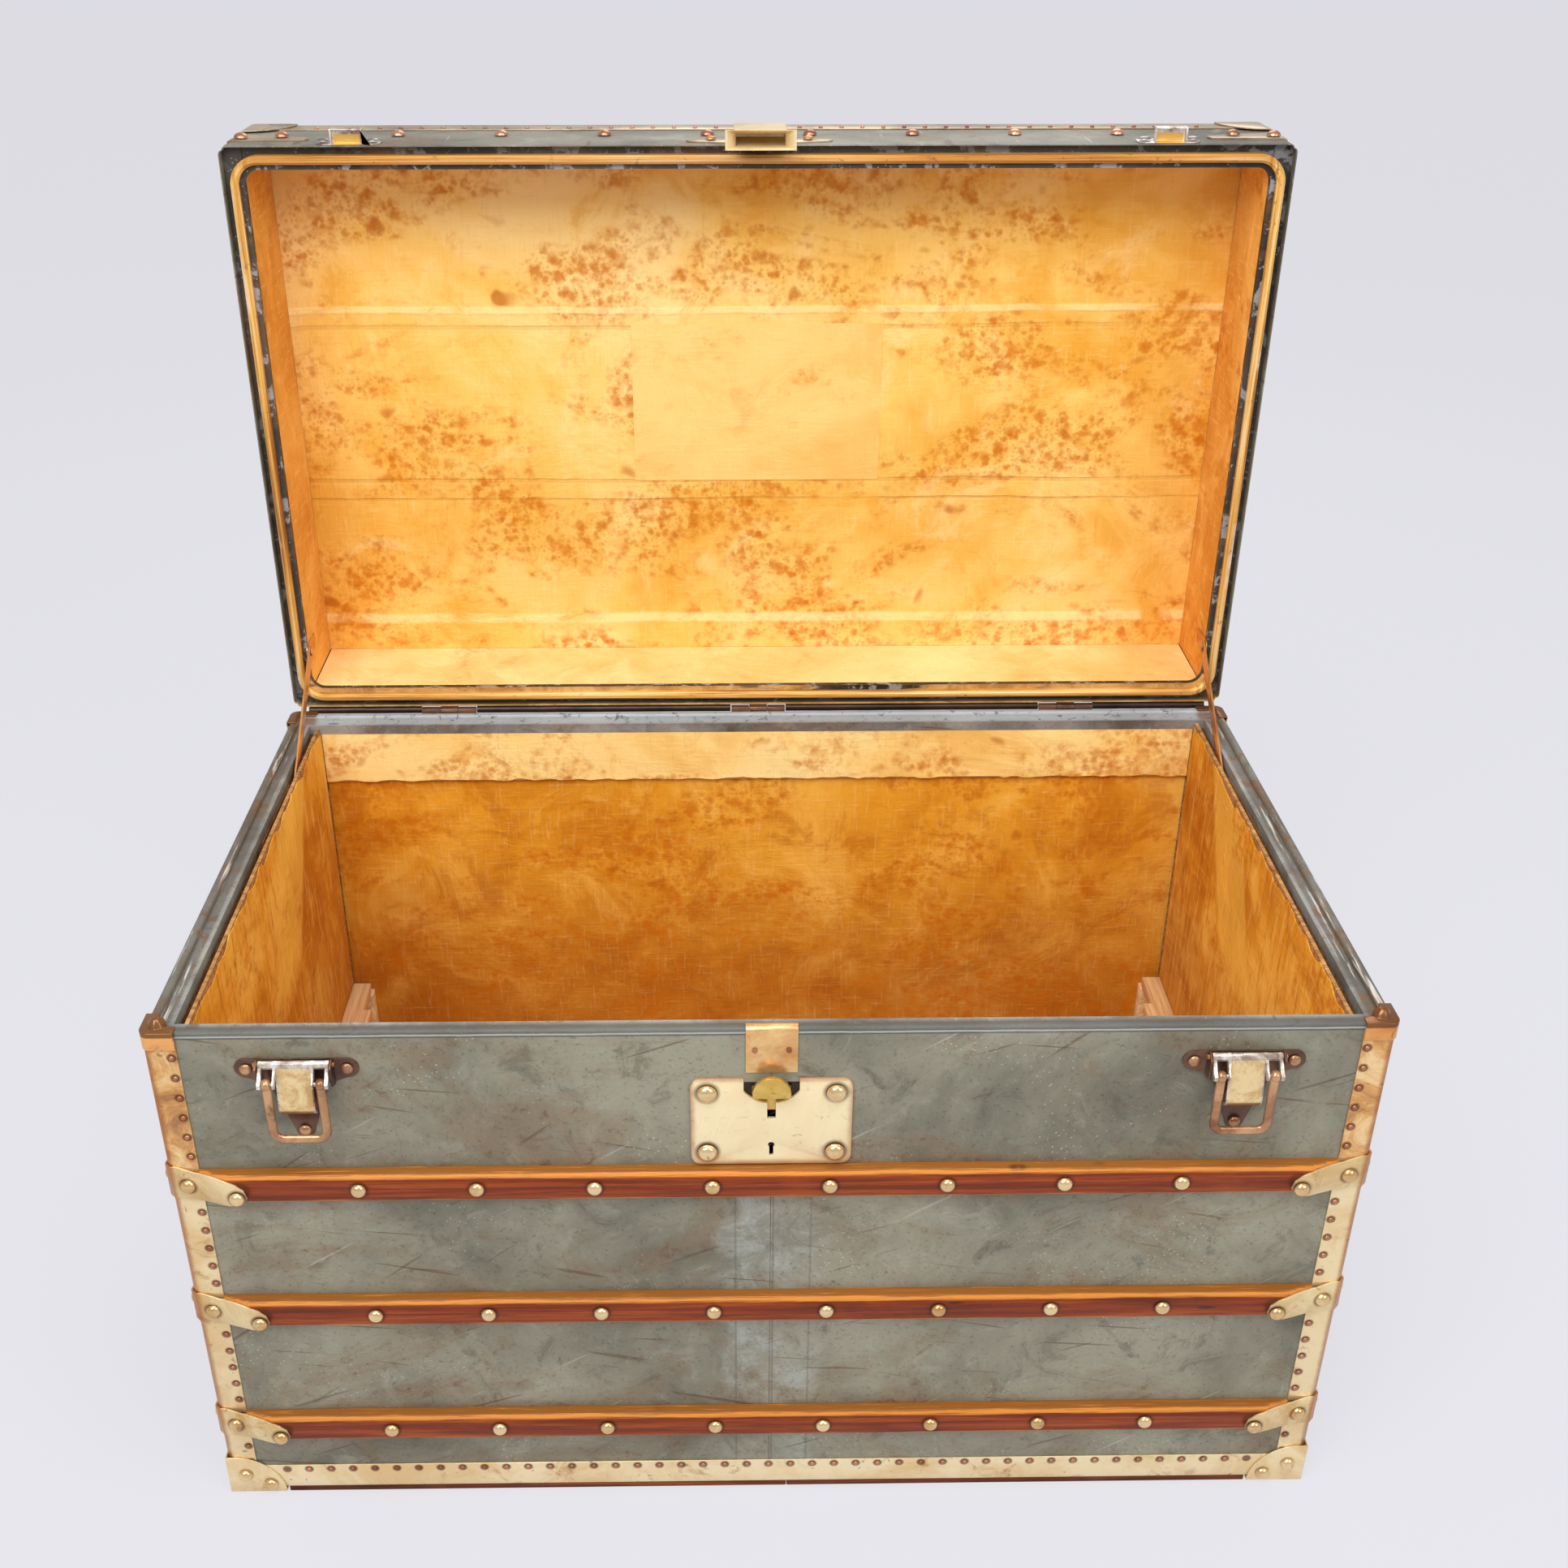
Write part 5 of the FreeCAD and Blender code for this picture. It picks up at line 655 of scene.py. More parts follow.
lid_side_canvas = canvas_finish("lid_side_canvas", (248, 196, 108), (232, 166, 74), (208, 134, 46),
                                0.4, 0.4, 10)
label_paper = canvas_finish("label_paper", (250, 208, 130), (248, 200, 118), (238, 182, 94),
                            0.25, 0.1, 12)

# %% Leather
leather_finish = Finish("handle_leather")
rubbed = leather_finish.cloud(30, 6, 0.7, 0.5)
leather_finish.base(rubbed, (0.35, (52, 28, 16)), (0.55, (92, 52, 28)), (0.75, (134, 84, 48)))
grain = leather_finish.cells(320, feature="DISTANCE_TO_EDGE").level(0.0, 0.12)
leather_finish.raise_by(grain, 0.00012)
leather_finish.raise_by(rubbed, 0.0004)
leather = leather_finish.done(0.5)

# %% [markdown]
# ## Dressing the CAD pieces
# The metal and wood CAD pieces have the right shapes, but their edges are knife sharp and no real
# edge is. A copy is merged, its flat faces are joined, and a fine bevel is put on, so that each
# edge catches a thin line of light as worn metal does. The copy replaces its node.

# %% Helpers for pieces


def leave_all():
    if bpy.context.object and bpy.context.object.mode != "OBJECT":
        bpy.ops.object.mode_set(mode="OBJECT")
    bpy.ops.object.select_all(action="DESELECT")


def pick(*pieces):
    """Selects these pieces alone; the first is active."""
    leave_all()
    for piece in pieces:
        piece.select_set(True)
    bpy.context.view_layer.objects.active = pieces[0]


@contextmanager
def editing(piece):
    """Edit mode with the whole piece selected, and back."""
    pick(piece)
    bpy.ops.object.mode_set(mode="EDIT")
    take_all()
    yield
    bpy.ops.object.mode_set(mode="OBJECT")


@contextmanager
def points_of(piece):
    """The points of a piece that is being edited, to be moved."""
    bpy.ops.object.mode_set(mode="OBJECT")
    yield piece.data.vertices
    bpy.ops.object.mode_set(mode="EDIT")


def take_all():
    bpy.ops.mesh.select_all(action="SELECT")


def cut(place, normal, **rest):
    """Cuts all that is being edited along a plane."""
    take_all()
    bpy.ops.mesh.bisect(plane_co=place, plane_no=normal, **rest)


def settle():
    """Puts the object's place and turn into its points."""
    bpy.ops.object.transform_apply(location=True, rotation=True, scale=True)


def smooth(angle):
    bpy.ops.object.shade_smooth_by_angle(angle=math.radians(angle))


def apply_modifiers(piece):
    pick(piece)
    for modifier in list(piece.modifiers):
        bpy.ops.object.modifier_apply(modifier=modifier.name)


def paint(piece, material):
    piece.data.materials.clear()
    piece.data.materials.append(material)


def keep(piece, material, name, body, slot, *replaced):
    """Paints and names a finished piece and lets it ride on its body."""
    paint(piece, material)
    piece.name = piece.data.name = name
    if replaced:
        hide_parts(*replaced)
    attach(piece, body)
    return piece


def dressed(name, material, slot, bevel, reshape=None):
    """A merged, bevelled copy of a CAD node, which reshape may change first; bevel is in mm."""
    source = nodes[name]
    piece = linked(f"{name}_dressed", source.data.copy())
    with editing(piece):
        bpy.ops.mesh.remove_doubles(threshold=0.000002)
        bpy.ops.mesh.dissolve_limited(angle_limit=math.radians(1))
        if reshape:
            reshape(piece)
    edge = piece.modifiers.new("edge", "BEVEL")
    edge.width = bevel * MM
    edge.segments = 2
    edge.limit_method = "ANGLE"
    edge.angle_limit = math.radians(30)
    edge.use_clamp_overlap = True
    apply_modifiers(piece)
    smooth(40)
    return keep(piece, material, f"{name}_dressed", body_of(source)[0], slot, name)


# %% Shapes that are fuller than the CAD ones; each starts and ends in edit mode


def full_leaf(piece):
    """Gives the leaf of a clamp a convex upper edge. Heights are in mm from the slat's middle."""
    for reach in (10, 15, 20, 25.5, 30, 35, 40, 44, 48, 51.5, 54, 56.5):
        for x, y, normal in ((SIDE_X - reach * MM, 0, (1, 0, 0)),
                             (0, SIDE_Y - reach * MM, (0, 1, 0))):
            for sign in (-1, 1):
                cut((sign * x, sign * y, 0), normal)
    with points_of(piece) as points:
        for point in points:
            x, y, z = point.co
            reach = min(max(SIDE_X - abs(x), SIDE_Y - abs(y)) / MM, 59.0)
            if reach <= 5:
                continue
            height = min(SLAT_HEIGHTS, key=lambda value: abs(value - z))
            # the CAD leaf: a straight taper that ends in a round tip of radius 7.5
            tip = math.sqrt(max(0.0, 7.5 ** 2 - max(0.0, reach - 51.5) ** 2))
            low, old = -6 - tip, -6 + tip
            if reach <= 51.5:
                low, old = -13.5, 16.5 - (reach - 5) * 15 / 46.5
            # the full leaf: nearly level at first, then a superellipse down to the tip
            new = 16.5 - (reach - 5) * 4 / 15
            if reach > 20:
                new = -6 + 18.5 * math.sqrt(1 - ((reach - 20) / 39) ** 2.6)
            if old - low > 0.5:
                share = (new - low) / (old - low)
                point.co.z = height + (low + ((z - height) / MM - low) * share) * MM


def wide_tongue(piece):
    """Widens the tongue of a lever to its full 27 mm."""
    with points_of(piece) as points:
        for point in points:
            middle = math.copysign(LATCH_X, point.co.x)
            aside = point.co.x - middle
            if 0.0115 < abs(aside) < 0.01205 and point.co.z < 0.4495 and point.co.y < -0.266:
                point.co.x = middle + aside * 1.11


def flush_runner(piece):
    """Brings the outer runners forward, flush with the base strips."""
    with points_of(piece) as points:
        outer = max(abs(point.co.y) for point in points)
        for point in points:
            if abs(point.co.y) > outer - 0.0001:
                point.co.y = math.copysign(SIDE_Y + 0.0014, point.co.y)


def round_lid(piece):
    """Rounds the four corners of the lid, turning squares about each corner into circles."""
    for share in (1, 0.8, 0.586, 0.33, 0.12):
        inset = LID_ROUND * share
        for x in (SIDE_X - inset, inset - SIDE_X):
            cut((x, 0, 0), (1, 0, 0))
        for z in (LID_HIGH - inset, LID_LOW + inset):
            cut((0, 0, z), (0, 0, 1))
    middle = (LID_HIGH + LID_LOW) / 2
    half_x, half_z = SIDE_X - LID_ROUND, (LID_HIGH - LID_LOW) / 2 - LID_ROUND
    with points_of(piece) as points:
        for point in points:
            x, z = point.co.x, point.co.z - middle
            aside, above = abs(x) - half_x, abs(z) - half_z
            if aside > 0.00001 and above > 0.00001:
                share = max(aside, above) / math.hypot(aside, above)
                point.co.x = math.copysign(half_x + aside * share, x)
                point.co.z = middle + math.copysign(half_z + above * share, z)


# %% Dress the metal and the slats
DRESSED = (
    ("front_slats rear_slats", slat_wood, "slat_wood", 1.6),
    ("end_slats", slat_wood_end, "slat_wood", 1.6),
    ("lid_slats", slat_wood_lid, "slat_wood", 1.6),
    ("slat_clamps", brass_clamp, "brass", 0.5, full_leaf),
    ("lid_clamps", aged_brass, "brass", 0.3, round_lid),
    ("corner_angles", brass_corner, "brass", 0.4),
    ("base_edge_strips", brass_strip, "brass", 0.4),
    ("base_corner_caps", brass, "brass", 0.4),
    ("lid_corner_caps lid_edge_strips", aged_brass, "brass", 0.3, round_lid),
    ("rim_corner_caps", rim_brown, "copper_brass", 0.5),
    ("lock_plate", brass_plate, "brass", 0.7),
    ("lock_catch", brass_catch, "brass", 0.5),
    ("rim_strap", brass_strap, "copper_brass", 0.4),
    ("left_latch_base right_latch_base", patina, "brass", 0.35),
    ("left_latch_lever right_latch_lever", lever_finish, "brass", 0.4, wide_tongue),
    ("lid_zinc", zinc_lid, "zinc", 0.3, round_lid),
    ("lid_side_boards", lid_edge_dark_zinc_and_shade, "board", 0.3, round_lid),
    ("hasp", brass_clamp, "brass", 0.3),
    ("hasp_plate", aged_brass, "brass", 0.4),
    ("lid_catches", catch_finish, "brass", 0.4),
    ("body_hinge_leaves lid_hinge_leaves", patina, "brass", 0.4),
    ("left_stay right_stay", copper, "copper_brass", 0.3),
    ("handle_brackets", patina, "brass", 0.4),
    ("tray_rests", rest_wood, "board", 0.8),
    ("runners", runner_wood, "board", 0.8, flush_runner),
)
for names, *how in DRESSED:
    for name in names.split():
        dressed(name, *how)

# %% Finishes on the CAD nodes that stay as they are
for names, material in (
    ("body_zinc", zinc),
    ("rim_cap", zinc_rim),
    ("lid_inner_strip", zinc_strip),
    ("front_board rear_board end_boards bottom_board rim_battens inner_panels corner_battens "
     "lid_top_board", box_wood),
    ("lid_lip", lip_gold),
    ("lock_case", painted_gap_shade),
    ("catch_spring", steel),
    ("latch_pins hinge_pins hasp_pin stay_guides stay_pivots", copper),
):
    for name in names.split():
        paint(nodes[name], material)

# %% [markdown]
# ## Floor and light
# A pale floor that runs out of sight, one large soft lamp above the camera, three weaker ones and
# a pale sky. The floor shows mostly its own flat colour to the camera and to shiny metal, and the
# rest of it takes light and shadow.

# %% Stage
leave_all()
bpy.ops.mesh.primitive_plane_add(size=60)
floor = bpy.context.object
floor.name = "floor"
floor_paint = bpy.data.materials.new("floor_paint")
floor_paint.use_nodes = True
tree = floor_paint.node_tree
tree.nodes.clear()
rays, seen, share, matt, flat, mix, out = (tree.nodes.new(f"ShaderNode{kind}") for kind in (
    "LightPath", "Math", "Math", "BsdfDiffuse", "Emission", "MixShader", "OutputMaterial"))
seen.operation, share.operation = "ADD", "MULTIPLY"
share.inputs[1].default_value = 0.82
matt.inputs["Color"].default_value = tone(222, 222, 230)
flat.inputs["Color"].default_value = tone(229, 229, 235)
for source, target in (
    (rays.outputs["Is Camera Ray"], seen.inputs[0]),
    (rays.outputs["Is Glossy Ray"], seen.inputs[1]),
    (seen.outputs[0], share.inputs[0]),
    (share.outputs[0], mix.inputs[0]),
    (matt.outputs[0], mix.inputs[1]),
    (flat.outputs[0], mix.inputs[2]),
    (mix.outputs[0], out.inputs["Surface"]),
):
    tree.links.new(source, target)
paint(floor, floor_paint)

world = bpy.data.worlds.new("sky")
bpy.context.scene.world = world
world.use_nodes = True
sky = world.node_tree.nodes["Background"]
sky.inputs["Color"].default_value = (0.9, 0.9, 0.91, 1)
sky.inputs["Strength"].default_value = 0.62

for name, place, aim, power, width in (
    ("key_lamp", (-1.3, -2.2, 3.0), (0, 0, 0.45), 62, 1.8),
    ("fill_lamp", (1.9, -1.8, 2.2), (0, 0, 0.4), 22, 1.6),
    ("back_lamp", (0.4, 2.2, 2.6), (0, 0.2, 0.5), 20, 1.6),
    ("inner_lamp", (0, -0.55, 1.75), (0, 0.24, 0.3), 9, 0.9),
):
    lamp = linked(name, bpy.data.lights.new(name, "AREA"))
    lamp.data.energy = power
    lamp.data.size = width
    lamp.location = place
    lamp.rotation_euler = (Vector(aim) - Vector(place)).to_track_quat("-Z", "Y").to_euler()

# %% [markdown]
# ## The canvas lining
# Each wall of the body and of the lid is one cut of canvas, pasted down. It is a grid of points in
# the plane of the wall, pushed in and out by less than a millimetre, with a torn upper edge at the
# ends, and then given the cloth's thickness.

# %% Sheets


def quads(work, rows, closed=False):
    """Faces between rows of points; a closed row is a ring."""
    for low, high in zip(rows, rows[1:]):
        for place in range(len(low) - (not closed)):
            follow = (place + 1) % len(low)
            work.faces.new((low[place], low[follow], high[follow], high[place]))


def cloth(name, corner, across, up, counts, inward, swell, torn, torn_low, thick, seed):
    """A sheet from a corner, along two edges, its thickness going away from inward; sizes in mm."""
    corner, across, up, inward = Vector(corner), Vector(across), Vector(up), Vector(inward)
    upward = up.normalized()
    columns, rows = counts
    work = bmesh.new()
    grid = []
    for row in range(rows + 1):
        line = []
        for column in range(columns + 1):
            s, t = column / columns, row / rows
            place = corner + across * s + up * t
            if torn:
                lift = noise.fractal(place * 38 + Vector((seed, 0, 0)), 0.8, 2.1, 4)
                place -= upward * max(0.0, 0.5 + lift) * torn * MM * t ** 6
            if torn_low:
                lift = noise.fractal(place * 46 + Vector((seed, 5, 0)), 0.8, 2.1, 4)
                place += upward * max(0.0, 0.5 + lift) * torn_low * MM * (1 - t) ** 6
            edge = min(1.0, 6 * min(s, 1 - s, t, 1 - t) + 0.15)
            wave = noise.fractal(place * 9 + Vector((seed, seed, 0)), 0.9, 2.0, 5)
            line.append(work.verts.new(place + inward * (wave * swell * MM * edge)))
        grid.append(line)
    quads(work, grid)
    if across.cross(up).dot(inward) < 0:
        bmesh.ops.reverse_faces(work, faces=work.faces)
    mesh = bpy.data.meshes.new(name)
    work.to_mesh(mesh)
    work.free()
    piece = linked(name, mesh)
    thickness = piece.modifiers.new("thickness", "SOLIDIFY")
    thickness.thickness = thick * MM
    thickness.offset = -1
    apply_modifiers(piece)
    smooth(60)
    return piece


def lining_piece(name, corner, across, up, inward, material, on, *replaced, body="body", size=0.012,
                 swell=0.5, torn=0.0, torn_low=0.0, thick=0.8, seed=0):
    """One cut of canvas, declared with its flat size; size is the step of its grid."""
    width, height = Vector(across).length, Vector(up).length
    counts = max(2, round(width / size)), max(2, round(height / size))
    piece = cloth(name, corner, across, up, counts, inward, swell, torn, torn_low, thick, seed)
    keep(piece, material, name, body, "canvas", *replaced)
    return piece


# body: the walls, the floor, and a band at the top of the long walls
wall_x, wall_y = 0.4222, 0.2452
long_wall, band = ((2 * wall_x, 0, 0), (0, 0, 0.44)), ((0.843, 0, 0), (0, 0, 0.0525))
lining_piece("rear_lining", (-wall_x, wall_y, FLOOR), *long_wall, (0, -1, 0), rear_canvas,
             "rear_board", "body_lining", seed=1, swell=0.35)
lining_piece("front_lining", (-wall_x, -wall_y, FLOOR), *long_wall, (0, 1, 0), rear_canvas,
             "front_board", seed=2, swell=0.35)
for side, sign in (("left", -1), ("right", 1)):
    lining_piece(f"{side}_lining", (sign * wall_x, -0.2395, FLOOR), (0, 0.479, 0), (0, 0, 0.446),
                 (-sign, 0, 0), side_canvas, "inner_panels", torn=7.0, seed=3 + sign, size=0.008)
lining_piece("floor_lining", (-0.4215, -0.2445, 0.0206), (0.843, 0, 0), (0, 0.489, 0), (0, 0, 1),
             floor_canvas, "bottom_board", seed=6, swell=0.2)
for side, sign, seed in (("rear", 1, 7), ("front", -1, 8)):
    lining_piece(f"{side}_band", (-0.4215, sign * 0.2402, 0.4095), *band, (0, -sign, 0),
                 band_canvas, "rim_battens", seed=seed, swell=0.8, torn_low=2.5, size=0.006)

# lid: its top, the four walls, and the label
lid_x, lid_low, lid_high, lid_mouth = 0.4312, 0.4988, 0.9772, 0.2722
lid_up, lid_deep = (0, 0, lid_high - lid_low), (0, 0.0862, 0)
lining_piece("lid_top_lining", (-lid_x, 0.3588, lid_low), (2 * lid_x, 0, 0), lid_up, (0, -1, 0),
             lid_canvas, "lid_top_board", "lid_lining", body="lid", seed=11)
for side, sign in (("left", -1), ("right", 1)):
    lining_piece(f"lid_{side}_lining", (sign * lid_x, lid_mouth, lid_low), lid_deep, lid_up,
                 (-sign, 0, 0), lid_side_canvas, "lid_side_boards", body="lid", seed=12 + sign,
                 swell=0.3)
for side, height, way, material in (("rear", lid_low, 1, lid_rear_canvas),
                                    ("front", lid_high, -1, lid_side_canvas)):
    lining_piece(f"lid_{side}_lining", (-lid_x + 0.001, lid_mouth, height),
                 (2 * lid_x - 0.002, 0, 0), lid_deep, (0, 0, way), material, "lid_side_boards",
                 body="lid", seed=15 + way, swell=0.3)
label = lining_piece("label_sheet", (-0.117, 0.3583, 0.675), (0.234, 0, 0), (0, 0, 0.150),
                     (0, -1, 0), label_paper, "lid_top_lining", "paper_label", body="lid", seed=20,
                     swell=0.12, thick=0.25, size=0.006)

# %% [markdown]
# ## Rivets and nails
# A dome rivet is half a ball, pressed flat. It is modelled once and copied to each place, and each
# row is then joined into one piece. The nails are the same shape at a third of the size, with fewer
# faces, because there are hundreds.

# %% Domes


def dome_unit(radius, rise, segments, rings):
    """Half a ball, pressed to its rise, standing at the origin and facing up."""
    leave_all()
    bpy.ops.mesh.primitive_uv_sphere_add(segments=segments, ring_count=rings, radius=radius)
    unit = bpy.context.object
    with editing(unit):
        cut((0, 0, 0.00001), (0, 0, 1), clear_inner=True, use_fill=True)
        take_all()
        bpy.ops.transform.resize(value=(1, 1, rise / radius))
        bpy.ops.mesh.normals_make_consistent(inside=False)
    smooth(50)
    return unit


WAYS = {way: Matrix.Rotation(math.radians(angle), 4, axis) for way, angle, axis in (
    ("front", 90, "X"), ("rear", -90, "X"), ("left", -90, "Y"), ("right", 90, "Y"), ("up", 0, "X"),
    ("down", 180, "X"))}
FACES, ENDS = ((-1, "front"), (1, "rear")), ((-1, "left"), (1, "right"))


def scatter(name, unit, places, material, body, *replaced):
    """A dome at each (place, way), turned by chance, all joined into one piece."""
    made = []
    for place, way in places:
        one = linked(name, unit.data.copy())
        one.matrix_world = Matrix.Translation(place) @ WAYS[way] @ Matrix.Rotation(
            random.uniform(0, 6.28), 4, "Z")
        made.append(one)
    pick(*made)
    bpy.ops.object.join()
    settle()
    keep(made[0], material, name, body, "brass", *replaced)


def on_faces(x, proud, z):
    return [((x, sy * (SIDE_Y + proud), z), face) for sy, face in FACES]


def on_ends(y, proud, z):
    return [((sx * (SIDE_X + proud), y, z), end) for sx, end in ENDS]


def on_uprights(x, y, proud, z):
    """On both faces of each of the four uprights: x across a front, y across an end."""
    return [place for sx, end in ENDS for sy, face in FACES
            for place in (((sx * x, sy * (SIDE_Y + proud), z), face),
                          ((sx * (SIDE_X + proud), sy * y, z), end))]


def clear_of_clamps(z):
    return all(not -0.0165 < z - height < 0.0195 for height in SLAT_HEIGHTS)


big_dome = dome_unit(0.0060, 0.0040, 14, 10)
lock_dome = dome_unit(0.0074, 0.0046, 16, 12)
small_dome = dome_unit(0.0046, 0.0023, 12, 10)
ear_dome = dome_unit(0.0056, 0.0022, 14, 8)
nail = dome_unit(0.0021, 0.0013, 8, 6)
flat_nail = dome_unit(0.0022, 0.0004, 8, 6)

# how far each kind of metal stands out from the zinc, and rows that are used more than once
SLAT_PROUD, CLAMP_PROUD, LEAF_PROUD, CAP_PROUD, NAIL_PROUD = 0.011, 0.0126, 0.003, 0.0024, 0.0012
PLATE_PROUD, BASE_PROUD = 0.0025, 0.0012
CLAMP_TIP_Y, CLAMP_ROOT_Y = 0.2065, 0.2445
LID_NAIL_Y, LID_MIDDLE = 0.3494, 0.738

# slats, their clamps and the base corner caps
places = []
for height in SLAT_HEIGHTS:
    for x in RIVET_PLACES:
        places += on_faces(x, SLAT_PROUD, height)
    for y in (-RIVET_PITCH, 0.0, RIVET_PITCH):
        places += on_ends(y, SLAT_PROUD, height)
    tips = on_uprights(CLAMP_TIP_X, CLAMP_TIP_Y, CLAMP_PROUD, height - CLAMP_TIP_DROP)
    roots = on_uprights(CLAMP_ROOT_X, CLAMP_ROOT_Y, LEAF_PROUD, height - CLAMP_ROOT_DROP)
    for number in range(0, len(tips), 2):
        places += tips[number:number + 2] + roots[number:number + 2]
for sx, end in ENDS:
    for sy, face in FACES:
        places += [((sx * x, sy * (SIDE_Y + CAP_PROUD), z), face)
                   for x, z in ((0.4375, 0.0215), (0.4175, 0.0105))]
        places += [((sx * (SIDE_X + CAP_PROUD), sy * y, z), end)
                   for y, z in ((0.2455, 0.0215), (0.2255, 0.0105))]
scatter("slat_rivet_heads", big_dome, places, dome_metal, "body", "slat_rivets")

# lock and latches
places = [((sx * LOCK_RIVET_X, -SIDE_Y - PLATE_PROUD, z), "front")
          for sx in (-1, 1) for z in LOCK_RIVET_HEIGHTS]
scatter("lock_rivet_heads", lock_dome, places, dome_metal, "body", "front_rivets")
places = [((middle + aside, -SIDE_Y - BASE_PROUD, z), "front") for middle in (-LATCH_X, LATCH_X)
          for aside, z in ((-0.0365, 0.445), (0.0365, 0.445), (0, 0.389))]
scatter("latch_rivet_heads", small_dome, places, ring_metal, "body")

# lid: slats, front row, clamps on the top and on the front
places = [((x, LID_TOP + SLAT_PROUD, z), "rear") for z in LID_SLAT_HEIGHTS for x in RIVET_PLACES]
places += [((x, 0.3156, LID_HIGH), "up") for x in RIVET_PLACES]
places += [((sx * CLAMP_TIP_X, LID_TOP + CLAMP_PROUD, z), "rear") for sx in (-1, 1)
           for z in LID_SLAT_HEIGHTS]
places += [((sx * x, y, LID_HIGH + 0.0016), "up") for x, y in ((0.4035, 0.2996), (0.4365, 0.2930))
           for sx in (-1, 1)]
scatter("lid_rivet_heads", big_dome, places, dull_dome, "lid", "lid_rivets")
places = [((middle + sign * 0.0204, 0.2732, LID_HIGH + 0.0012), "up")
          for middle in (-LATCH_X, LATCH_X) for sign in (-1, 1)]
scatter("catch_ears", ear_dome, places, dark_ear, "lid")
places = [((sign * 0.041, 0.2816, LID_HIGH + 0.0015), "up") for sign in (-1, 1)]
scatter("catch_rivet_heads", small_dome, places, copper, "lid")

# nails: down the uprights, along the base strips, in the rim strap, round the lid
count = int((NAIL_TOP - 0.045) / NAIL_PITCH) + 1
heights = [NAIL_TOP - NAIL_PITCH * number for number in range(count)]
places = [place for z in heights if clear_of_clamps(z)
          for place in on_uprights(NAIL_X, NAIL_Y, NAIL_PROUD, z)]
along_fronts = [STRIP_PITCH * number for number in range(-21, 22)]
along_ends = [STRIP_PITCH * number for number in range(-11, 12)]
for x in along_fronts:
    places += on_faces(x, NAIL_PROUD, STRIP_Z)
for y in along_ends:
    places += on_ends(y, NAIL_PROUD, STRIP_Z)
scatter("body_nails", nail, places, nail_metal, "body")
places = [((x, -SIDE_Y - NAIL_PROUD, 0.4575), "front") for x in (-0.0125, 0.0125)]
scatter("strap_nails", flat_nail, places, nail_metal, "body")
places = [((x, LID_NAIL_Y, z), way) for x in along_fronts
          for z, way in ((LID_HIGH + NAIL_PROUD, "up"), (LID_LOW - NAIL_PROUD, "down"))]
for z in along_ends:
    places += on_ends(LID_NAIL_Y, NAIL_PROUD, LID_MIDDLE + z)
scatter("lid_nails", nail, places, nail_metal, "lid")
for unit in (big_dome, lock_dome, small_dome, ear_dome, nail, flat_nail):
    bpy.data.objects.remove(unit)
print("nails and rivets are on")

# %% [markdown]
# ## Latch rings
# A ring is a rod bent to a squared U. The rod starts as a small disc, is drawn down, swung round
# each corner with spin, and drawn up again, as a smith would work it round a former.

# %% Rings


def ring_piece(side, middle):
    y, top, low, leg, bend = -0.273, 0.441, 0.3914, 0.0195, 0.0072
    leave_all()
    bpy.ops.mesh.primitive_circle_add(vertices=12, radius=0.0030, fill_type="NGON",
                                      location=(middle - leg, y, top))
    piece = bpy.context.object
    settle()

    def draw(*step):
        bpy.ops.mesh.extrude_region_move(TRANSFORM_OT_translate={"value": step})

    def swing(x):
        bpy.ops.mesh.spin(steps=6, angle=math.radians(90), center=(x, y, low + bend),
                          axis=(0, 1, 0))

    with editing(piece):
        bpy.ops.transform.resize(value=(1.15, 0.85, 1))
        draw(0, 0, low + bend - top)
        swing(middle - leg + bend)
        draw(2 * (leg - bend), 0, 0)
        swing(middle + leg - bend)
        draw(0, 0, top - low - bend)
        take_all()
        bpy.ops.mesh.remove_doubles(threshold=0.000005)
        bpy.ops.mesh.normals_make_consistent(inside=False)
    # an eye at the head of each leg, on the lever's pin
    eyes = []
    for sign in (-1, 1):
        leave_all()
        bpy.ops.mesh.primitive_torus_add(
            major_radius=0.0031, minor_radius=0.0013, major_segments=16, minor_segments=8,
            location=(middle + sign * leg, y, top), rotation=(0, math.radians(90), 0))
        eyes.append(bpy.context.object)
        with editing(eyes[-1]):
            bpy.ops.transform.resize(value=(2.2, 1, 1), orient_type="GLOBAL")
    pick(piece, *eyes)
    bpy.ops.object.join()
    settle()
    smooth(50)
    name = f"{side}_latch_ring"
    keep(piece, ring_metal, f"{name}_rod", name, "copper_brass", name)


for side, middle in (("left", -LATCH_X), ("right", LATCH_X)):
    ring_piece(side, middle)
print("rings are bent")

# %% [markdown]
# ## Leather handles
# Each end has a stitched leather grip: a flat strap folded round a core, thickest in the middle. A
# squarish ring of points is repeated along the path of the hand, larger at the middle, and the
# whole is then rounded.

# %% Handles


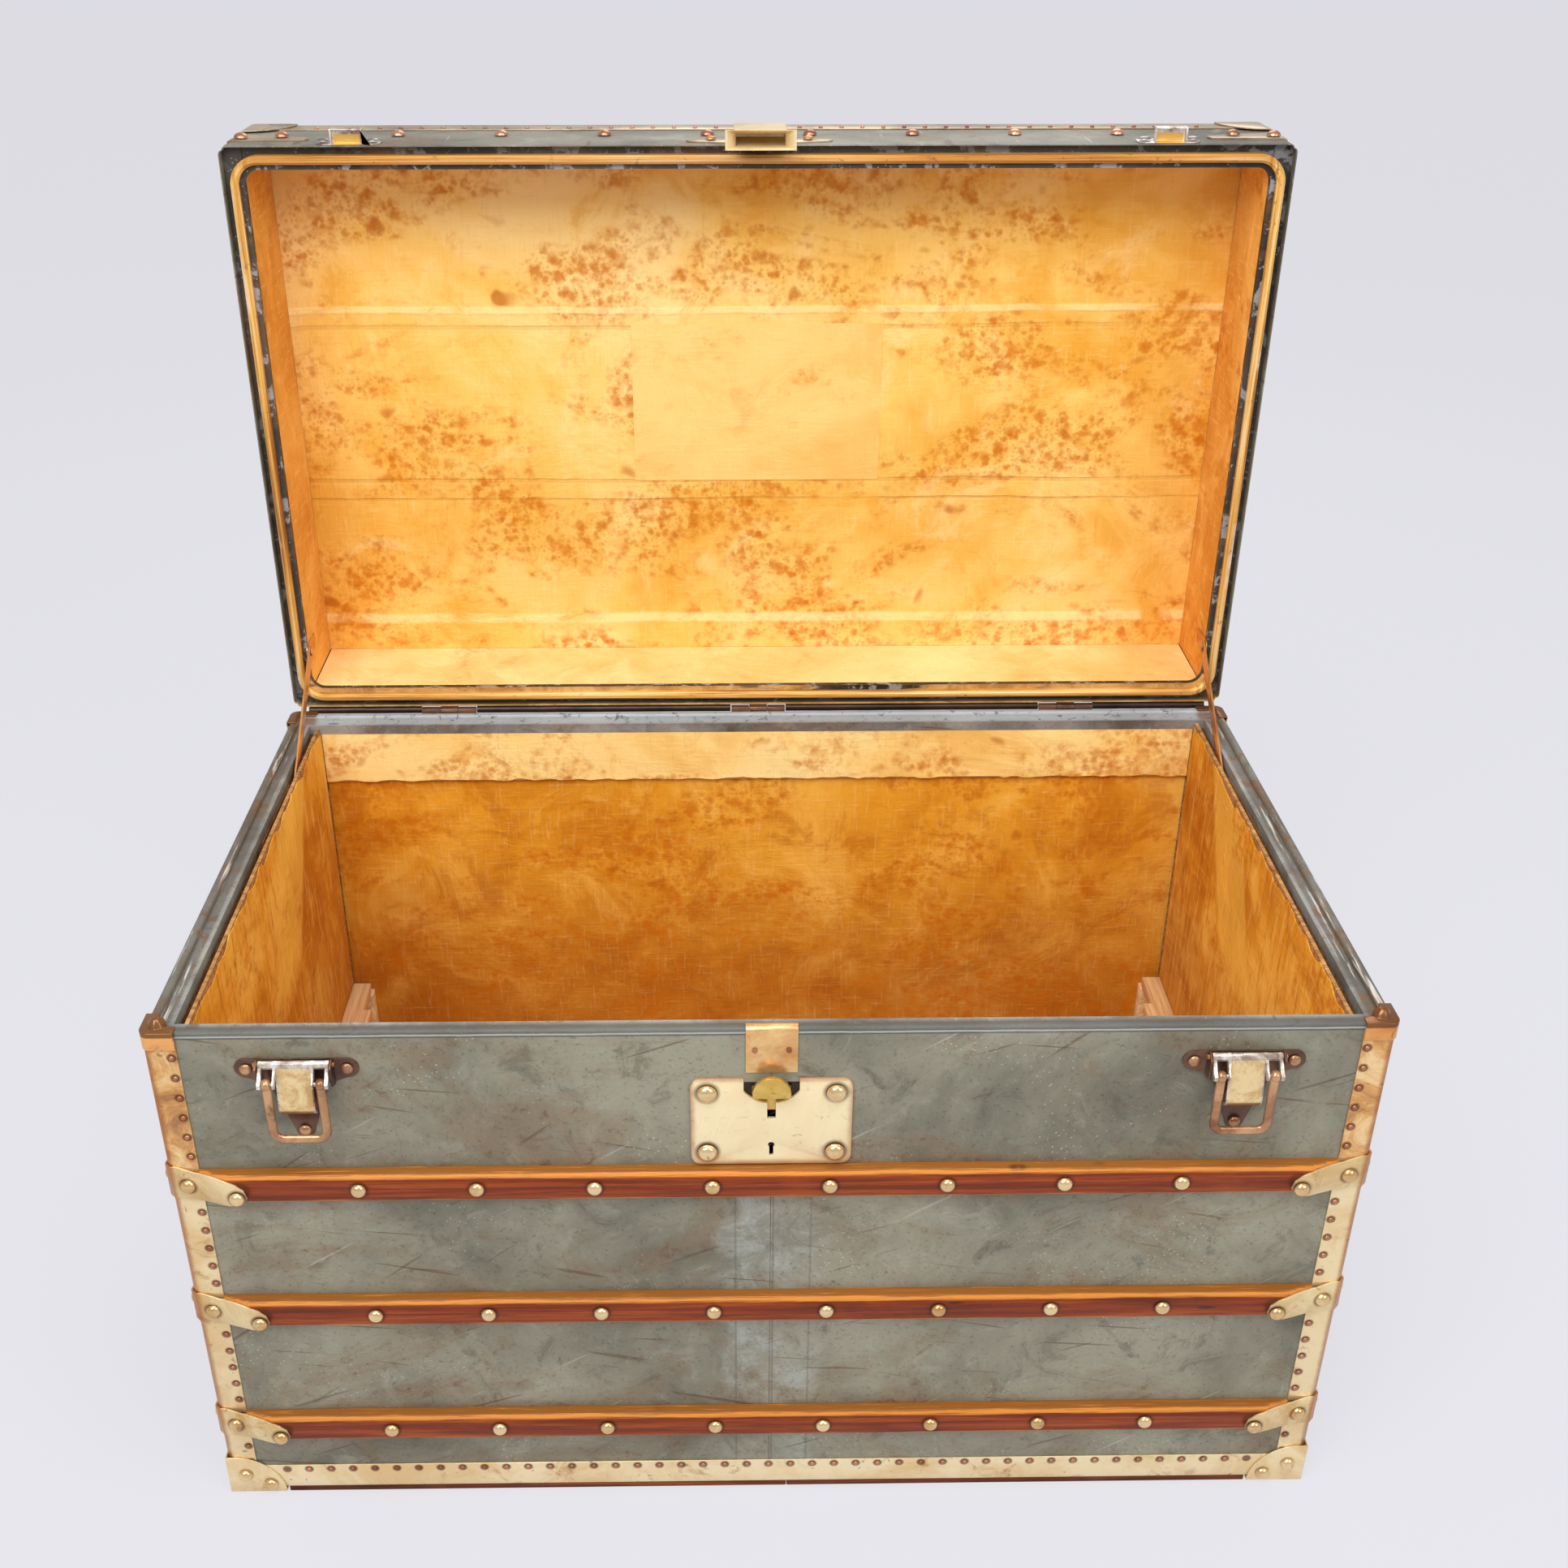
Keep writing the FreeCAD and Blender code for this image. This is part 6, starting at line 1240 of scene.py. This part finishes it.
def grip_piece(name):
    low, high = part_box(name)
    ends, top, deepest = 0.007, high[2] - 0.007, low[2] + 0.0085
    steps, around = 24, 16
    path = [Vector(((low[0] + high[0]) / 2,
                    low[1] + ends + (high[1] - low[1] - 2 * ends) * number / steps,
                    top - (top - deepest) * math.sin(math.pi * number / steps) ** 0.55))
            for number in range(steps + 1)]
    work = bmesh.new()
    rings = []
    for number, place in enumerate(path):
        along = (path[min(number + 1, steps)] - path[max(number - 1, 0)]).normalized()
        out = Vector((1, 0, 0))
        side_way = along.cross(out).normalized()
        swell = 0.62 + 0.38 * math.sin(math.pi * number / steps)
        ring = []
        for step in range(around):
            angle = 2 * math.pi * step / around
            c, s = (math.copysign(abs(value) ** 0.7, value)
                    for value in (math.cos(angle), math.sin(angle)))
            ring.append(work.verts.new(
                place + out * c * 0.0062 * swell + side_way * s * 0.0082 * swell))
        rings.append(ring)
    quads(work, rings, closed=True)
    work.faces.new(rings[0][::-1])
    work.faces.new(rings[-1])
    bmesh.ops.recalc_face_normals(work, faces=work.faces)
    mesh = bpy.data.meshes.new(f"{name}_grip")
    work.to_mesh(mesh)
    work.free()
    piece = linked(f"{name}_grip", mesh)
    soft = piece.modifiers.new("soft", "SUBSURF")
    soft.levels = soft.render_levels = 1
    apply_modifiers(piece)
    smooth(50)
    keep(piece, leather, f"{name}_grip", name, "leather", name)


for side in ("left", "right"):
    grip_piece(f"{side}_handle")

# %% [markdown]
# ## Hinge gap shade
# Between the rear rim and the open lid a dark line runs from end to end, where the gap along the
# hinge line lies in shade. A thin dark roll is laid in it as painted shade, in lengths that stop
# short of the hinges, cut across and slightly crumpled.

# %% Hinge gap shade


def hinge_shade_roll(number, low, high):
    leave_all()
    bpy.ops.mesh.primitive_cylinder_add(vertices=20, radius=0.0036, depth=high - low,
                                        location=((low + high) / 2, 0.2645, RIM),
                                        rotation=(0, math.radians(90), 0))
    piece = bpy.context.object
    settle()
    with editing(piece):
        for step in range(1, 12):
            cut((low + (high - low) * step / 12, 0, 0), (1, 0, 0))
        take_all()
        bpy.ops.transform.vertex_random(offset=0.0002, seed=number)
    smooth(60)
    keep(piece, painted_gap_shade, f"hinge_gap_shade_strip_{number}", "body", "leather")


GAPS = (-0.436, -0.3268), (-0.2732, -0.0268), (0.0268, 0.2732), (0.3268, 0.436)
for number, (low, high) in enumerate(GAPS, 1):
    hinge_shade_roll(number, low, high)

# %% The end
leave_all()
